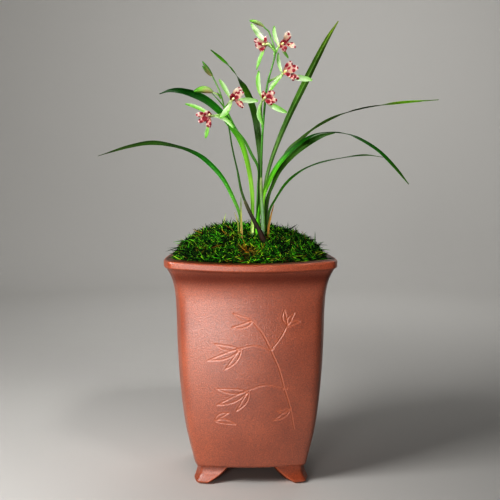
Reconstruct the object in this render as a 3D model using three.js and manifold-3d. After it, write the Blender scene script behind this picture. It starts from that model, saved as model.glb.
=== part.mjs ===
// A potted orchid: a square stoneware pot with bowed sides and four flared feet, its soil, a moss mound,
// five pseudobulbs, ten leaves, three dry sheaths and two flower spikes with six blooms and three buds.
// Millimetres, +Z up. The origin lies on the pot's axis, on the surface that its feet stand on. The pot's
// front face looks along -Y, and +X is to its right.

import * as THREE from 'three';
import { mergeVertices } from 'three/addons/utils/BufferGeometryUtils.js';
import Module from 'manifold-3d';

const wasm = await Module();
wasm.setup();

// ---- Driving dimensions: pot ----

const clearance = 0.3; // between two pieces that touch
const overshoot = 10; // how far a cut reaches past the surface that it opens
const weldDistance = 1e-4; // points closer than this are one point
const seamTolerance = 0.02; // the seams of a joined piece are cleaned up to this distance
const sideBow = 0.12; // how far a side's middle stands out, as a share of the corner's half width
const sideSteps = 8;
const rimTop = 234; // top edge of the rim band, at the middle of a side
const cornerRise = 3; // the rim is higher at its corners
const cornerRiseStart = 200; // height where that rise begins
const floorUnder = 19; // underside of the pot's floor, which is also the height of the feet
const floorTop = 27;
const drainRadius = 9;
const archLength = 260; // of the cut between the feet, longer than the pot is deep

// Half width at the middle of a side, and height, from the underside to below the rim band
const bodyOutline = [
  [63.4, floorUnder], [71.7, 56], [77, 100], [79.7, 145], [80.8, 184], [82.6, 204], [86.2, 217], [91.2, 226.4],
];
const bodySteps = 11;
const lipOutline = [
  [92.8, 227.4], [93.5, 228.6], [93.5, 232.8], [92.7, rimTop], [90, 235.4], [87, 236.2], [84, 236], [81.8, 234.6],
];
const cavityOutline = [[81.2, 231], [78.4, 218], [74, 196], [72.6, 145], [69.7, 100], [64.5, 56], [57, floorTop]];

// Foot ring, half width and height: outer waist, flared toe, flat sole and inner face
const footOutline = [
  [59.5, 22.5], [60.6, 18], [60.3, 14.5], [61.4, 9], [64.2, 5], [64, 2.6], [62, 0.7], [59.5, 0],
  [51, 0], [49, 4], [49, 22.5],
];
// Half of the arch between two feet: distance from the middle of a side, and height
const archOutline = [[24.5, floorUnder], [28, 15.5], [33.5, 10.2], [39, 5.8], [43.5, 2.6], [46, 0.9], [47, -1]];

// ---- Driving dimensions: soil, moss and pseudobulbs ----

const soilTop = 226;
const soilTopHalfWidth = 79.2;
const socketDepth = 8;
const plantedBottom = soilTop - socketDepth + clearance; // lower end of what stands in the soil
const mossHalfWidth = 81;
const mossEdge = 235; // height of the moss where it meets the rim
const mossRise = 35; // how far the mound's crown stands above that edge
const mossFall = 0.4; // how much of that height the mound loses between its crown and its edge
const mossRings = 10;
const mossBump = 1.6;
const wellGap = 0.5; // between a pseudobulb and the moss around it

const bulbTop = 252;
const bulbSides = 12;
// Share of the pseudobulb's radius, and height
const bulbProfile = [
  [0, plantedBottom], [0.68, plantedBottom], [0.7, 227], [0.93, 232], [1, 240], [0.96, 248], [0.86, bulbTop],
  [0, bulbTop],
];
const bulbNeck = 0.7; // share of the radius that stands in the soil
const bulbs = [
  { name: 'pseudobulb_left', at: [-10, -23], radius: 7 },
  { name: 'pseudobulb_front', at: [4, -25], radius: 6 },
  { name: 'pseudobulb_back', at: [9, -5], radius: 7 },
  { name: 'pseudobulb_middle', at: [15.5, -17.5], radius: 6 },
  { name: 'pseudobulb_right', at: [21, -28], radius: 5 },
];

// ---- Driving dimensions: leaves ----
// A route runs from the pseudobulb to the tip. facing holds the way that the blade's upper side looks, at
// even steps from the base to the tip.

const leafBase = bulbTop + clearance;
const leafThickness = 0.8;
const leafSteps = 18;
const sheathSteps = 7;
const leafBaseShare = 0.6; // width where the leaf leaves the pseudobulb, as a share of its widest
const leafWidening = 1.3; // how fast it grows from there, per length of leaf
const tipHalfWidth = 0.35;
const baseFold = 52; // degrees that each half of a leaf rises from the midrib, at its base
const bladeFold = 20; // the same, from the middle of the leaf on
const leaves = [
  {
    name: 'leaf_far_left',
    halfWidth: 4.6,
    facing: [[1, -0.5, 0.3], [0.6, 0, 0.8], [0.1, -0.1, 1], [-0.3, 0.1, 1]],
    route: [
      [-8, -21.5, leafBase], [-9, -21, 267], [-11, -20, 283], [-18, -14, 300], [-31, 1, 322], [-50, 23, 344],
      [-85, 58, 359], [-116, 83, 365], [-145, 99, 361], [-184, 112, 349],
    ],
  },
  {
    name: 'leaf_wide_left',
    halfWidth: 5.4,
    facing: [[0.2, -1, 0], [0.3, -0.9, 0.2], [0.1, -0.9, 0.4], [0.1, -0.9, 0.5], [0.2, -0.7, 0.7]],
    route: [
      [2.5, -25, leafBase], [2, -25, 265], [2, -25, 305], [-3, -24, 337], [-10, -22, 362], [-20, -20, 379],
      [-31, -16, 393], [-47, -11, 406], [-61, -7, 413], [-76, 0, 417], [-88, 5, 416], [-98, 10, 412],
    ],
  },
  {
    name: 'leaf_upper_left',
    halfWidth: 4.4,
    facing: [
      [0.3, -1, 0], [0.2, -1, 0], [0.2, -1, 0.1], [0.1, -1, 0.2], [0.1, -0.9, 0.4], [0.8, -0.1, 0.6],
      [0.1, -0.8, 0.6],
    ],
    route: [
      [8, -7.5, leafBase], [8.5, -8.5, 268], [10, -11, 290], [12, -9, 332], [11, -3, 357], [8, 8, 387], [2, 20, 411],
      [-8, 34, 432], [-18, 43, 445], [-31, 53, 458], [-44, 61, 470],
    ],
  },
  {
    name: 'leaf_tall_right',
    halfWidth: 3.9,
    facing: [[-0.3, -1, 0], [-0.2, -1, 0.1], [-0.2, -1, 0.3]],
    route: [
      [12.5, -3, leafBase], [13, -3, 270], [16, 1, 311], [20, 4, 332], [29, 7, 361], [42, 11, 391],
      [59, 16, 423], [74, 20, 451], [89, 25, 479], [100, 28, 497],
    ],
  },
  {
    name: 'leaf_far_right',
    halfWidth: 4.6,
    facing: [[-0.6, -0.8, 0.1], [-0.5, -0.7, 0.5], [-0.2, -0.2, 1], [0.2, 0, 1]],
    route: [
      [17.9, -14.2, leafBase], [17.9, -13.6, 270], [20, -9, 298], [31, -9, 328], [43, -9, 350], [55, -17, 361],
      [70, -32, 374], [89, -46, 384], [111, -60, 390], [146, -77, 394], [184, -88, 396],
    ],
  },
  {
    name: 'leaf_arching_right',
    halfWidth: 4.9,
    facing: [[-0.5, -0.8, 0.1], [-0.5, -0.75, 0.4], [-0.3, -0.6, 0.8], [0, -0.15, 1], [0.6, -0.1, 0.8]],
    route: [
      [15.4, -18, leafBase], [14.4, -18.6, 266], [13, -24, 299], [19, -27, 315], [29, -33, 333], [41, -39, 347],
      [54, -46, 358], [69, -55, 366], [84, -63, 367], [98, -71, 365], [112, -80, 358], [126, -89, 347],
      [139, -100, 331], [150, -112, 314],
    ],
  },
  {
    name: 'leaf_under_right',
    halfWidth: 4.2,
    facing: [[-0.6, -0.7, 0.1], [-0.4, -0.6, 0.7], [-0.2, -0.5, 0.9]],
    route: [
      [17, -15.6, leafBase], [16.6, -16, 268], [18, -17, 295], [24, -18, 309], [32, -17, 326], [44, -16, 342],
      [61, -13, 356], [78, -10, 366], [92, -7, 370],
    ],
  },
  {
    name: 'leaf_low_right',
    halfWidth: 3.4,
    facing: [[-0.8, -0.5, 0.2], [-0.5, -0.2, 0.8], [0, 0, 1]],
    route: [
      [20.5, -26.5, leafBase], [19.5, -26, 268], [21, -24, 285], [28, -20, 297], [41, -10, 315], [58, 4, 329],
      [77, 16, 338], [105, 36, 345], [137, 55, 350], [159, 68, 347],
    ],
  },
  {
    name: 'leaf_narrow_back',
    halfWidth: 3.2,
    facing: [[1, -0.2, 0], [0.9, 0.3, 0.4], [0.6, 0.5, 0.6]],
    route: [
      [6, -2, leafBase], [7, -3, 273], [9, 0, 308], [9, 4, 333], [2, 12, 348], [-6, 20, 364], [-15, 27, 376],
      [-29, 41, 403], [-43, 51, 420],
    ],
  },
  {
    name: 'young_leaf',
    halfWidth: 2.6,
    facing: [[-0.3, -1, 0], [-0.3, -1, 0]],
    route: [[8, -25.4, leafBase], [8, -25.6, 267], [8.2, -26, 279], [8.4, -26.4, 291]],
  },
];
const drySheaths = [
  {
    name: 'dry_sheath_left',
    halfWidth: 2.2,
    facing: [[0.6, -0.8, 0], [0.6, -0.8, 0]],
    route: [[-8.5, -27.5, leafBase], [-9, -27.5, 264], [-10, -28, 283], [-10, -28.5, 301]],
  },
  {
    name: 'dry_sheath_small',
    halfWidth: 1.8,
    facing: [[0.6, -0.8, 0], [0.8, -0.6, 0.2]],
    route: [[-13, -23, leafBase], [-13, -23, 270], [-14.5, -23, 277], [-17, -23, 284]],
  },
  {
    name: 'dry_sheath_right',
    halfWidth: 2.4,
    facing: [[-0.6, -0.8, 0], [-0.6, -0.8, 0.2]],
    route: [[20.6, -29.4, leafBase], [20, -29.5, 267], [21.5, -31, 279], [25, -33, 292]],
  },
];

// ---- Driving dimensions: flower spikes ----
// A pedicel runs from its place on the stem to the back of its bloom or bud.

const stemSides = 6;
const socketGap = 0.8; // between a stem and the soil around it
const sheathGap = 0.45; // between a stem and the sheath around it
const sheathRings = 9;
const spikes = [
  {
    name: 'spike_a',
    radii: [1.9, 0.9],
    wellRadius: 3.8,
    steps: 18,
    sheath: { from: 0.16, to: 0.42, thickness: 0.7, slant: 7, colour: 'stem' },
    budStalks: [],
    route: [
      [12.5, -31.5, plantedBottom], [12, -31.5, 261], [11, -31, 297], [11, -31, 321], [12, -30, 351], [13, -29, 376],
      [15, -27, 398], [18, -25, 421], [23, -25, 439], [26, -25, 453], [24, -25, 461], [21, -24, 470],
      [19, -24, 475], [16, -26, 477], [13.5, -28, 479],
    ],
  },
  {
    name: 'spike_b',
    radii: [2.2, 0.9],
    wellRadius: 4.6,
    steps: 17,
    sheath: { from: 0.15, to: 0.34, thickness: 0.8, slant: 5, colour: 'purple' },
    budStalks: [[[-30.5, -35.5, 404], [-35, -35, 409], [-40, -35, 410]]],
    route: [
      [17, -39.5, plantedBottom], [15.5, -39.5, 250], [10.5, -40, 265], [1, -41, 283], [-9, -42, 305],
      [-15, -42, 329], [-21, -41, 352], [-24, -39, 375], [-28, -37, 394], [-31, -35, 407], [-36, -33, 419],
      [-40, -32, 427],
    ],
  },
];

const stalkRadius = 0.8;
const ovarySwelling = 0.6; // how much thicker a bloom's stalk is where it meets the bloom
const bractLength = 5.5;
const bractSpread = 2.4;
const bractHalfWidth = 2;
const bractThickness = 0.6;

const hubRadius = 1.7;
const flowerThickness = 0.7;
const sepalHalfWidth = 3.3;
const sepalBow = 1.5; // how far a sepal's middle is bent back
const sepalFold = 0.3;
const petalHalfWidth = 5.1;
const petalLift = 2.5; // how far a petal's middle is pushed forward
const petalFold = 0.25;
const petalWave = 0.9;
const columnLength = 5;
const columnRadii = [1.3, 1];
// centre is where a bloom's parts meet, and facing is the way that it looks. The tips are measured from
// the centre.
const blooms = [
  {
    name: 'bloom_a',
    spike: 'spike_a',
    centre: [16, -24, 463],
    facing: [-0.85, 0.5, 0],
    stalkFoot: [26, -25, 454],
    sepals: [[-16, 6, 20.5], [-9.5, 4, -26.5], [10.5, 16, -2]],
    petals: [[-12.5, 3, 3], [-7.5, 1, -8.5], [-9, 9, -1]],
  },
  {
    name: 'bloom_b',
    spike: 'spike_a',
    centre: [31, -27, 459],
    facing: [0.75, -0.6, 0.2],
    stalkFoot: [26, -25, 452],
    sepals: [[-6, 3, 21.5], [9.5, 10, -11], [-11, -17, -5]],
    petals: [[8.5, -5, 14.5], [15.5, -7, 0], [4, -10, -5.5]],
  },
  {
    name: 'bloom_c',
    spike: 'spike_a',
    centre: [35, -25, 431],
    facing: [0.5, -0.8, 0.2],
    stalkFoot: [18.5, -25, 422],
    sepals: [[-5, 9, 22.5], [-15, -8, -19], [29, 4, -4.5]],
    petals: [[9, -6, 12], [12, -6, -6], [14, -5, 5]],
  },
  {
    name: 'bloom_d',
    spike: 'spike_a',
    centre: [13, -35, 404],
    facing: [0.35, -0.9, 0.1],
    stalkFoot: [12.8, -29, 374],
    sepals: [[-4.5, 1, 28], [0, -3, -28], [25, 5, -14]],
    petals: [[0.5, -8, 8.5], [11, -7, 7.5], [14, -6, -3.5]],
  },
  {
    name: 'bloom_e',
    spike: 'spike_b',
    centre: [-20, -46, 400],
    facing: [0.4, -0.9, 0.1],
    stalkFoot: [-27.5, -37, 392],
    sepals: [[-13, -3, 20.5], [26.5, 5, 0], [-12, -6, -16.5]],
    petals: [[10.5, -6, 12.5], [11.5, -6, -7], [0, -9, 5]],
  },
  {
    name: 'bloom_f',
    spike: 'spike_b',
    centre: [-42, -44, 385],
    facing: [-0.5, -0.85, -0.1],
    stalkFoot: [-26.5, -38, 388],
    sepals: [[-26, 5, 12.5], [20, -4, -12.5], [-5, -3, -22.5]],
    petals: [[-14.5, -7, -1], [0.5, -8, -11.5], [-7, -9, -6]],
  },
];
const buds = [
  {
    name: 'bud_a_tip',
    thickness: 2.6,
    shapes: [[[13.2, -28.3, 479.2], [6, -31, 483.5], [-2, -32, 485]]],
  },
  {
    name: 'bud_b_tip',
    thickness: 2.1,
    shapes: [
      [[-40.3, -32, 427.5], [-45, -33, 434], [-50, -34, 441.5]],
      [[-40.3, -32, 427.5], [-46.5, -30.5, 432], [-52, -29, 438]],
    ],
  },
  {
    name: 'bud_b_side',
    thickness: 3.7,
    shapes: [[[-40.4, -35, 410], [-49, -35.5, 415], [-59, -35, 411]]],
  },
];

// ---- Closed meshes and solids ----

// A closed mesh from points and triangles, turned so that its faces look out.
function closedGeometry(points, triangles) {
  const volume = triangles.reduce((sum, [a, b, c]) => {
    const cross = new THREE.Vector3().crossVectors(points[b], points[c]);
    return sum + points[a].dot(cross);
  }, 0);
  const ordered = volume < 0 ? triangles.map(([a, b, c]) => [a, c, b]) : triangles;
  const geometry = new THREE.BufferGeometry().setFromPoints(points);
  geometry.setIndex(ordered.flat());
  return geometry;
}

function solidOf(source) {
  const bare = source.clone();
  bare.deleteAttribute('normal');
  bare.deleteAttribute('uv');
  const merged = mergeVertices(bare, weldDistance);
  return new wasm.Manifold(new wasm.Mesh({
    numProp: 3,
    vertProperties: new Float32Array(merged.attributes.position.array),
    triVerts: new Uint32Array(merged.index.array),
  }));
}

function geometryOf(solid) {
  const { vertProperties, triVerts } = solid.getMesh();
  const geometry = new THREE.BufferGeometry();
  geometry.setAttribute('position', new THREE.BufferAttribute(new Float32Array(vertProperties), 3));
  geometry.setIndex(new THREE.BufferAttribute(new Uint32Array(triVerts), 1));
  return geometry;
}

function joined(geometries) {
  return geometries.map(solidOf).reduce((whole, next) => whole.add(next)).simplify(seamTolerance);
}

// Rings of equally many points, joined in order. The end rings are capped, or a closed loft joins the last
// ring to the first.
function loft(rings, closed = false) {
  const points = rings.flat();
  const count = rings[0].length;
  const triangles = [];
  const bands = closed ? rings.length : rings.length - 1;
  for (let band = 0; band < bands; band += 1) {
    const here = band * count;
    const next = ((band + 1) % rings.length) * count;
    for (let side = 0; side < count; side += 1) {
      const beside = (side + 1) % count;
      triangles.push([here + side, here + beside, next + side]);
      triangles.push([here + beside, next + beside, next + side]);
    }
  }
  if (!closed) {
    const ends = [{ start: 0, flip: true }, { start: points.length - count, flip: false }];
    for (const { start, flip } of ends) {
      const ring = points.slice(start, start + count);
      const middle = ring.reduce((sum, point) => sum.add(point), new THREE.Vector3()).divideScalar(count);
      points.push(middle);
      for (let side = 0; side < count; side += 1) {
        const pair = [start + side, start + ((side + 1) % count)];
        triangles.push([...(flip ? pair.reverse() : pair), points.length - 1]);
      }
    }
  }
  return closedGeometry(points, triangles);
}

const vector = (values) => new THREE.Vector3(...values);
const smoothCurve = (route) => new THREE.CatmullRomCurve3(route.map(vector), false, 'centripetal');

// The value at t, from 0 to 1, between evenly spaced values.
function between(values, t) {
  const place = t * (values.length - 1);
  const index = Math.min(Math.floor(place), values.length - 2);
  return vector(values[index]).lerp(vector(values[index + 1]), place - index);
}

// A circle of points about a curve at t. With a slant, the circle's front reaches further along the curve.
function circleOn(curve, t, radius, sides, slant = 0) {
  const along = curve.getTangentAt(t);
  const across = new THREE.Vector3(0, 1, 0).cross(along).normalize();
  const up = new THREE.Vector3().crossVectors(along, across);
  const centre = curve.getPointAt(t);
  return Array.from({ length: sides }, (_, side) => {
    const angle = (2 * Math.PI * side) / sides;
    return centre.clone()
      .addScaledVector(across, radius * Math.cos(angle))
      .addScaledVector(up, radius * Math.sin(angle))
      .addScaledVector(along, (slant * (1 + Math.cos(angle))) / 2);
  });
}

// A round rod along a curve, whose radius follows radiusAt(t).
function rod(curve, steps, sides, radiusAt) {
  return loft(Array.from({ length: steps + 1 }, (_, step) => {
    const t = step / steps;
    return circleOn(curve, t, radiusAt(t), sides);
  }));
}

// A thin blade whose middle follows a curve. facingAt(t) is the way its upper side looks, halfWidthAt(t) its
// half width, foldAt(t) the angle that each half rises from the midrib, and waveAt(t, side) a lift of the
// blade. Both faces are split into triangles alike.
function blade({ curve, steps, columns, thickness, facingAt, halfWidthAt, foldAt, waveAt = () => 0 }) {
  const points = [];
  const rows = steps + 1;
  for (const face of [1, -1]) {
    for (let row = 0; row < rows; row += 1) {
      const t = row / steps;
      const along = curve.getTangentAt(t);
      const facing = facingAt(t);
      const normal = facing.addScaledVector(along, -facing.dot(along)).normalize();
      const across = new THREE.Vector3().crossVectors(along, normal);
      const fold = foldAt(t);
      for (let column = 0; column < columns; column += 1) {
        const side = -1 + (2 * column) / (columns - 1);
        const reach = side * halfWidthAt(t);
        const lean = -Math.sign(side) * Math.sin(fold);
        const rise = side === 0 ? 1 / Math.cos(fold) : Math.cos(fold);
        points.push(curve.getPointAt(t)
          .addScaledVector(across, reach * Math.cos(fold) + (face * lean * thickness) / 2)
          .addScaledVector(normal, (Math.abs(reach) - halfWidthAt(t) / 2) * Math.sin(fold))
          .addScaledVector(normal, (face * rise * thickness) / 2 + waveAt(t, side)));
      }
    }
  }
  return closedGeometry(points, bladeTriangles(rows, columns));
}

function bladeTriangles(rows, columns) {
  const triangles = [];
  const under = rows * columns;
  for (let row = 0; row < rows - 1; row += 1) {
    for (let column = 0; column < columns - 1; column += 1) {
      const a = row * columns + column;
      const [b, c, d] = [a + 1, a + columns, a + columns + 1];
      triangles.push([a, b, c], [b, d, c]);
      triangles.push([under + a, under + c, under + b], [under + b, under + c, under + d]);
    }
  }
  const edge = [];
  for (let column = 0; column < columns; column += 1) edge.push(column);
  for (let row = 1; row < rows; row += 1) edge.push(row * columns + columns - 1);
  for (let column = columns - 2; column >= 0; column -= 1) edge.push((rows - 1) * columns + column);
  for (let row = rows - 2; row > 0; row -= 1) edge.push(row * columns);
  edge.forEach((here, place) => {
    const next = edge[(place + 1) % edge.length];
    triangles.push([here, under + here, next], [next, under + here, under + next]);
  });
  return triangles;
}

function post(radius, bottom, top, [x, y], sides = 16) {
  return new THREE.CylinderGeometry(radius, radius, top - bottom, sides)
    .rotateX(Math.PI / 2)
    .translate(x, y, (top + bottom) / 2);
}

const colours = {
  stoneware: { color: 0x9a5138, roughness: 0.62, metalness: 0 },
  soil: { color: 0x2c2018, roughness: 0.95, metalness: 0 },
  moss: { color: 0x2f5f14, roughness: 0.9, metalness: 0 },
  bulb: { color: 0x6f7d33, roughness: 0.6, metalness: 0 },
  leaf: { color: 0x3f7a1e, roughness: 0.45, metalness: 0 },
  straw: { color: 0xc9a45c, roughness: 0.8, metalness: 0 },
  stem: { color: 0x6c9a4a, roughness: 0.5, metalness: 0 },
  purple: { color: 0x6b4a45, roughness: 0.6, metalness: 0 },
  sepal: { color: 0xdcebc0, roughness: 0.5, metalness: 0 },
  petal: { color: 0xe9c9c0, roughness: 0.5, metalness: 0 },
};

function piece(name, shape, colour) {
  const geometry = shape instanceof THREE.BufferGeometry ? shape : geometryOf(shape);
  const mesh = new THREE.Mesh(geometry, new THREE.MeshStandardMaterial(colours[colour]));
  mesh.name = name;
  return mesh;
}

// ---- Pot ----

// The pot's plan at a height: a square whose sides bow outwards, with its corners risen near the rim.
function potRing(halfWidth, height) {
  const corner = halfWidth / (1 + sideBow);
  const rise = cornerRise * THREE.MathUtils.smoothstep(height, cornerRiseStart, rimTop);
  const ring = [];
  for (let side = 0; side < 4; side += 1) {
    for (let step = 0; step < sideSteps; step += 1) {
      const along = -1 + (2 * step) / sideSteps;
      const out = corner + (halfWidth - corner) * (1 - along * along);
      const plan = new THREE.Vector2(along * corner, -out);
      plan.rotateAround(new THREE.Vector2(), (side * Math.PI) / 2);
      ring.push(new THREE.Vector3(plan.x, plan.y, height + rise * along * along));
    }
  }
  return ring;
}

function potBody() {
  const side = new THREE.SplineCurve(bodyOutline.map(([width, height]) => new THREE.Vector2(width, height)));
  const outside = side.getPoints(bodySteps).map(({ x, y }) => [x, y]);
  return loft([...outside, ...lipOutline, ...cavityOutline].map(([width, height]) => potRing(width, height)));
}

// The opening between two feet, as a bar that runs through the pot's whole depth.
function archBar() {
  const half = archOutline.map(([x, z]) => new THREE.Vector2(x, z));
  const mirrored = archOutline.map(([x, z]) => new THREE.Vector2(-x, z)).reverse();
  const outline = new THREE.Shape([...half, ...mirrored]);
  return new THREE.ExtrudeGeometry(outline, { depth: archLength, bevelEnabled: false })
    .rotateX(Math.PI / 2)
    .translate(0, archLength / 2, 0);
}

function pot() {
  const ring = loft(footOutline.map(([width, height]) => potRing(width, height)), true);
  const feet = solidOf(ring)
    .subtract(solidOf(archBar()))
    .subtract(solidOf(archBar().rotateZ(Math.PI / 2)));
  const drain = solidOf(post(drainRadius, 0, floorTop + overshoot, [0, 0]));
  return piece('pot', solidOf(potBody()).add(feet).subtract(drain), 'stoneware');
}

// ---- Soil, moss and pseudobulbs ----

// A ring of the pot's plan with nothing above a height.
function levelRing(halfWidth, height, top) {
  return potRing(halfWidth, height).map((point) => point.setZ(Math.min(point.z, top)));
}

function soil() {
  const levels = cavityOutline.filter(([, height]) => height > floorTop && height < soilTop).reverse();
  const [bottomWidth] = cavityOutline.at(-1);
  const outline = [[bottomWidth, floorTop + clearance], ...levels, [soilTopHalfWidth, soilTop]];
  const block = loft(outline.map(([width, height]) => levelRing(width - clearance, height, soilTop)));
  const sockets = [
    ...bulbs.map(({ at, radius }) => socket(bulbNeck * radius + clearance, at)),
    ...spikes.map(({ route, radii }) => socket(radii[0] + socketGap, route[0])),
  ];
  return piece('potting_soil', solidOf(block).subtract(joined(sockets)), 'soil');
}

function socket(radius, at) {
  return post(radius, soilTop - socketDepth, soilTop + overshoot, at);
}

// Height of the mound over its edge: steep at the rim, fullest behind the pot's axis and to the left, with
// low bumps.
function moundRise(x, y, share) {
  const shoulder = Math.sqrt(1 - share ** 4);
  const crown = 1 - mossFall * ((x * x + y * y) / mossHalfWidth ** 2);
  const lean = 0.95 + 0.0065 * Math.min(y, 8) - 0.0012 * x;
  const bumps = Math.sin(0.21 * x + 1) * Math.cos(0.17 * y) + Math.sin(0.37 * y + 0.3 * x);
  return mossRise * shoulder * crown * lean + mossBump * bumps * shoulder;
}

function moss() {
  const [wallWidth, wallTop] = cavityOutline[0];
  const underside = soilTop + clearance;
  const rings = [
    levelRing(soilTopHalfWidth, underside, underside),
    potRing(wallWidth - 2 * clearance, wallTop),
  ];
  for (let ring = 0; ring < mossRings; ring += 1) {
    const share = Math.cos((Math.PI / 2) * (ring / mossRings));
    rings.push(potRing(mossHalfWidth * share, mossEdge).map((point) => {
      const rise = moundRise(point.x, point.y, share);
      return point.setZ(THREE.MathUtils.lerp(mossEdge, point.z, share) + rise);
    }));
  }
  const above = mossEdge + mossRise + overshoot;
  const wells = [
    ...bulbs.map(({ at, radius }) => post(radius + wellGap, soilTop, above, at)),
    ...spikes.map(stemWell),
  ];
  return piece('moss_mound', solidOf(loft(rings)).subtract(joined(wells)), 'moss');
}

// The hole that a flower spike comes out of, along its slant.
function stemWell({ route, wellRadius }) {
  const lowerRoute = route.slice(0, 4);
  return rod(smoothCurve(lowerRoute), 8, 10, () => wellRadius);
}

// A swollen stem base: narrow in its socket, round in the middle and cut flat where the leaves stand.
function pseudobulb({ name, at: [x, y], radius }) {
  const points = bulbProfile.map(([share, height]) => new THREE.Vector2(share * radius, height));
  const lathe = new THREE.LatheGeometry(points, bulbSides).rotateX(Math.PI / 2).translate(x, y, 0);
  return piece(name, solidOf(lathe), 'bulb');
}

// ---- Leaves ----

// A leaf's width at t as a share of its widest: full from a third of its length, and drawn out to a point.
function leafShare(t) {
  const opening = Math.min(1, leafBaseShare + leafWidening * t);
  return opening * (1 - t ** 3.2) ** 0.8;
}

function leaf({ name, route, facing, halfWidth }, steps, colour) {
  const shape = blade({
    curve: smoothCurve(route),
    steps,
    columns: 3,
    thickness: leafThickness,
    facingAt: (t) => between(facing, t),
    halfWidthAt: (t) => halfWidth * leafShare(t) + tipHalfWidth,
    foldAt: (t) => THREE.MathUtils.degToRad(THREE.MathUtils.lerp(baseFold, bladeFold, Math.min(1, 2 * t))),
  });
  return piece(name, shape, colour);
}

// ---- Flower spikes ----

function stem({ name, route, radii, steps, budStalks }) {
  const curve = smoothCurve(route);
  const shaft = rod(curve, steps, stemSides, (t) => THREE.MathUtils.lerp(radii[0], radii[1], t));
  const bloomStalks = blooms.filter(({ spike }) => spike === name).flatMap(bloomStalk);
  const stalks = budStalks.flatMap((points) => stalk(...points.map(vector), 0));
  return piece(`${name}_stem`, joined([shaft, ...bloomStalks, ...stalks]), 'stem');
}

// The stalk of a bloom, which comes to it from behind and swells to its ovary.
function bloomStalk({ centre, facing, stalkFoot }) {
  const front = vector(facing).normalize();
  const back = vector(centre).addScaledVector(front, -(hubRadius + 2 * clearance));
  const foot = vector(stalkFoot);
  const bend = back.clone().addScaledVector(front, -0.4 * foot.distanceTo(back));
  return stalk(foot, bend, back, ovarySwelling);
}

// A stalk and the small pointed bract where it leaves the stem.
function stalk(foot, bend, end, swelling) {
  const curve = new THREE.QuadraticBezierCurve3(foot, bend, end);
  return [rod(curve, 5, stemSides, (t) => stalkRadius + swelling * t), bract(foot, bend)];
}

function bract(foot, towards) {
  const way = towards.clone().sub(foot).normalize();
  const outward = new THREE.Vector3(0, -1, 0);
  const tip = foot.clone().addScaledVector(way, bractLength).addScaledVector(outward, bractSpread);
  return blade({
    curve: new THREE.LineCurve3(foot, tip),
    steps: 2,
    columns: 3,
    thickness: bractThickness,
    facingAt: () => outward.clone(),
    halfWidthAt: (t) => THREE.MathUtils.lerp(bractHalfWidth, tipHalfWidth, t),
    foldAt: () => 0.5,
  });
}

// A sheath wrapped round the stem's lower part, with a slanted mouth.
function stemSheath({ name, route, radii, sheath }) {
  const curve = smoothCurve(route);
  const outer = [];
  const inner = [];
  for (let step = 0; step <= sheathRings; step += 1) {
    const share = step / sheathRings;
    const t = THREE.MathUtils.lerp(sheath.from, sheath.to, share);
    const slant = sheath.slant * share ** 4;
    const core = THREE.MathUtils.lerp(radii[0], radii[1], t) + sheathGap;
    const wall = sheath.thickness * THREE.MathUtils.lerp(1.6, 0.9, share);
    outer.push(circleOn(curve, t, core + wall, stemSides, slant));
    inner.unshift(circleOn(curve, t, core, stemSides, slant));
  }
  return piece(`${name}_sheath`, loft([...outer, ...inner], true), sheath.colour);
}

// ---- Blooms and buds ----

function sphereAt(centre, radius) {
  return new THREE.SphereGeometry(radius, 6, 5).translate(...centre);
}

// A strap-shaped sepal from the hub to its tip, bowed back a little.
function sepal(centre, facing, offset) {
  const tip = centre.clone().add(offset);
  const bend = centre.clone().lerp(tip, 0.5).addScaledVector(facing, -sepalBow);
  return blade({
    curve: new THREE.QuadraticBezierCurve3(centre, bend, tip),
    steps: 7,
    columns: 3,
    thickness: flowerThickness,
    facingAt: () => facing.clone(),
    halfWidthAt: (t) => sepalHalfWidth * Math.sin(Math.PI * (0.16 + 0.8 * t ** 0.9)) ** 0.8,
    foldAt: () => sepalFold,
  });
}

function bloomSepals({ name, centre, facing, sepals }) {
  const hub = vector(centre);
  const front = vector(facing).normalize();
  const blades = sepals.map((offset) => sepal(hub, front, vector(offset)));
  return piece(`${name}_sepals`, joined([sphereAt(centre, hubRadius), ...blades]), 'sepal');
}

// A lip-like petal: a narrow claw, a broad waved blade and a tip that curls back.
function petal(hub, facing, tip, phase) {
  const bend = hub.clone().lerp(tip, 0.55).addScaledVector(facing, petalLift);
  return blade({
    curve: new THREE.QuadraticBezierCurve3(hub, bend, tip),
    steps: 6,
    columns: 3,
    thickness: flowerThickness,
    facingAt: () => facing.clone(),
    halfWidthAt: (t) => petalHalfWidth * Math.sin(Math.PI * (0.1 + 0.78 * t)) ** 0.9,
    foldAt: () => petalFold,
    waveAt: (t, side) => petalWave * side * Math.sin(9 * t + phase) * Math.sqrt(t),
  });
}

function bloomPetals({ name, centre, facing, petals }) {
  const front = vector(facing).normalize();
  const hub = vector(centre).addScaledVector(front, 2 * hubRadius + clearance);
  const blades = petals.map((offset, index) => petal(hub, front, vector(centre).add(vector(offset)), 2 * index));
  const columnLine = new THREE.LineCurve3(hub, hub.clone().addScaledVector(front, columnLength));
  const column = rod(columnLine, 2, 6, (t) => THREE.MathUtils.lerp(columnRadii[0], columnRadii[1], t));
  return piece(`${name}_petals`, joined([sphereAt(hub, hubRadius), ...blades, column]), 'petal');
}

// A spindle-shaped bud. One that opens is made of two spindles that part at their tips.
function bud({ name, shapes, thickness }) {
  const spindles = shapes.map(([start, middle, end]) => {
    const curve = new THREE.QuadraticBezierCurve3(vector(start), vector(middle), vector(end));
    return rod(curve, 7, 7, (t) => thickness * Math.sin(Math.PI * (0.12 + 0.84 * t)) ** 0.8);
  });
  return piece(name, joined(spindles), 'sepal');
}

// ---- The whole plant in its pot ----

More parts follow.
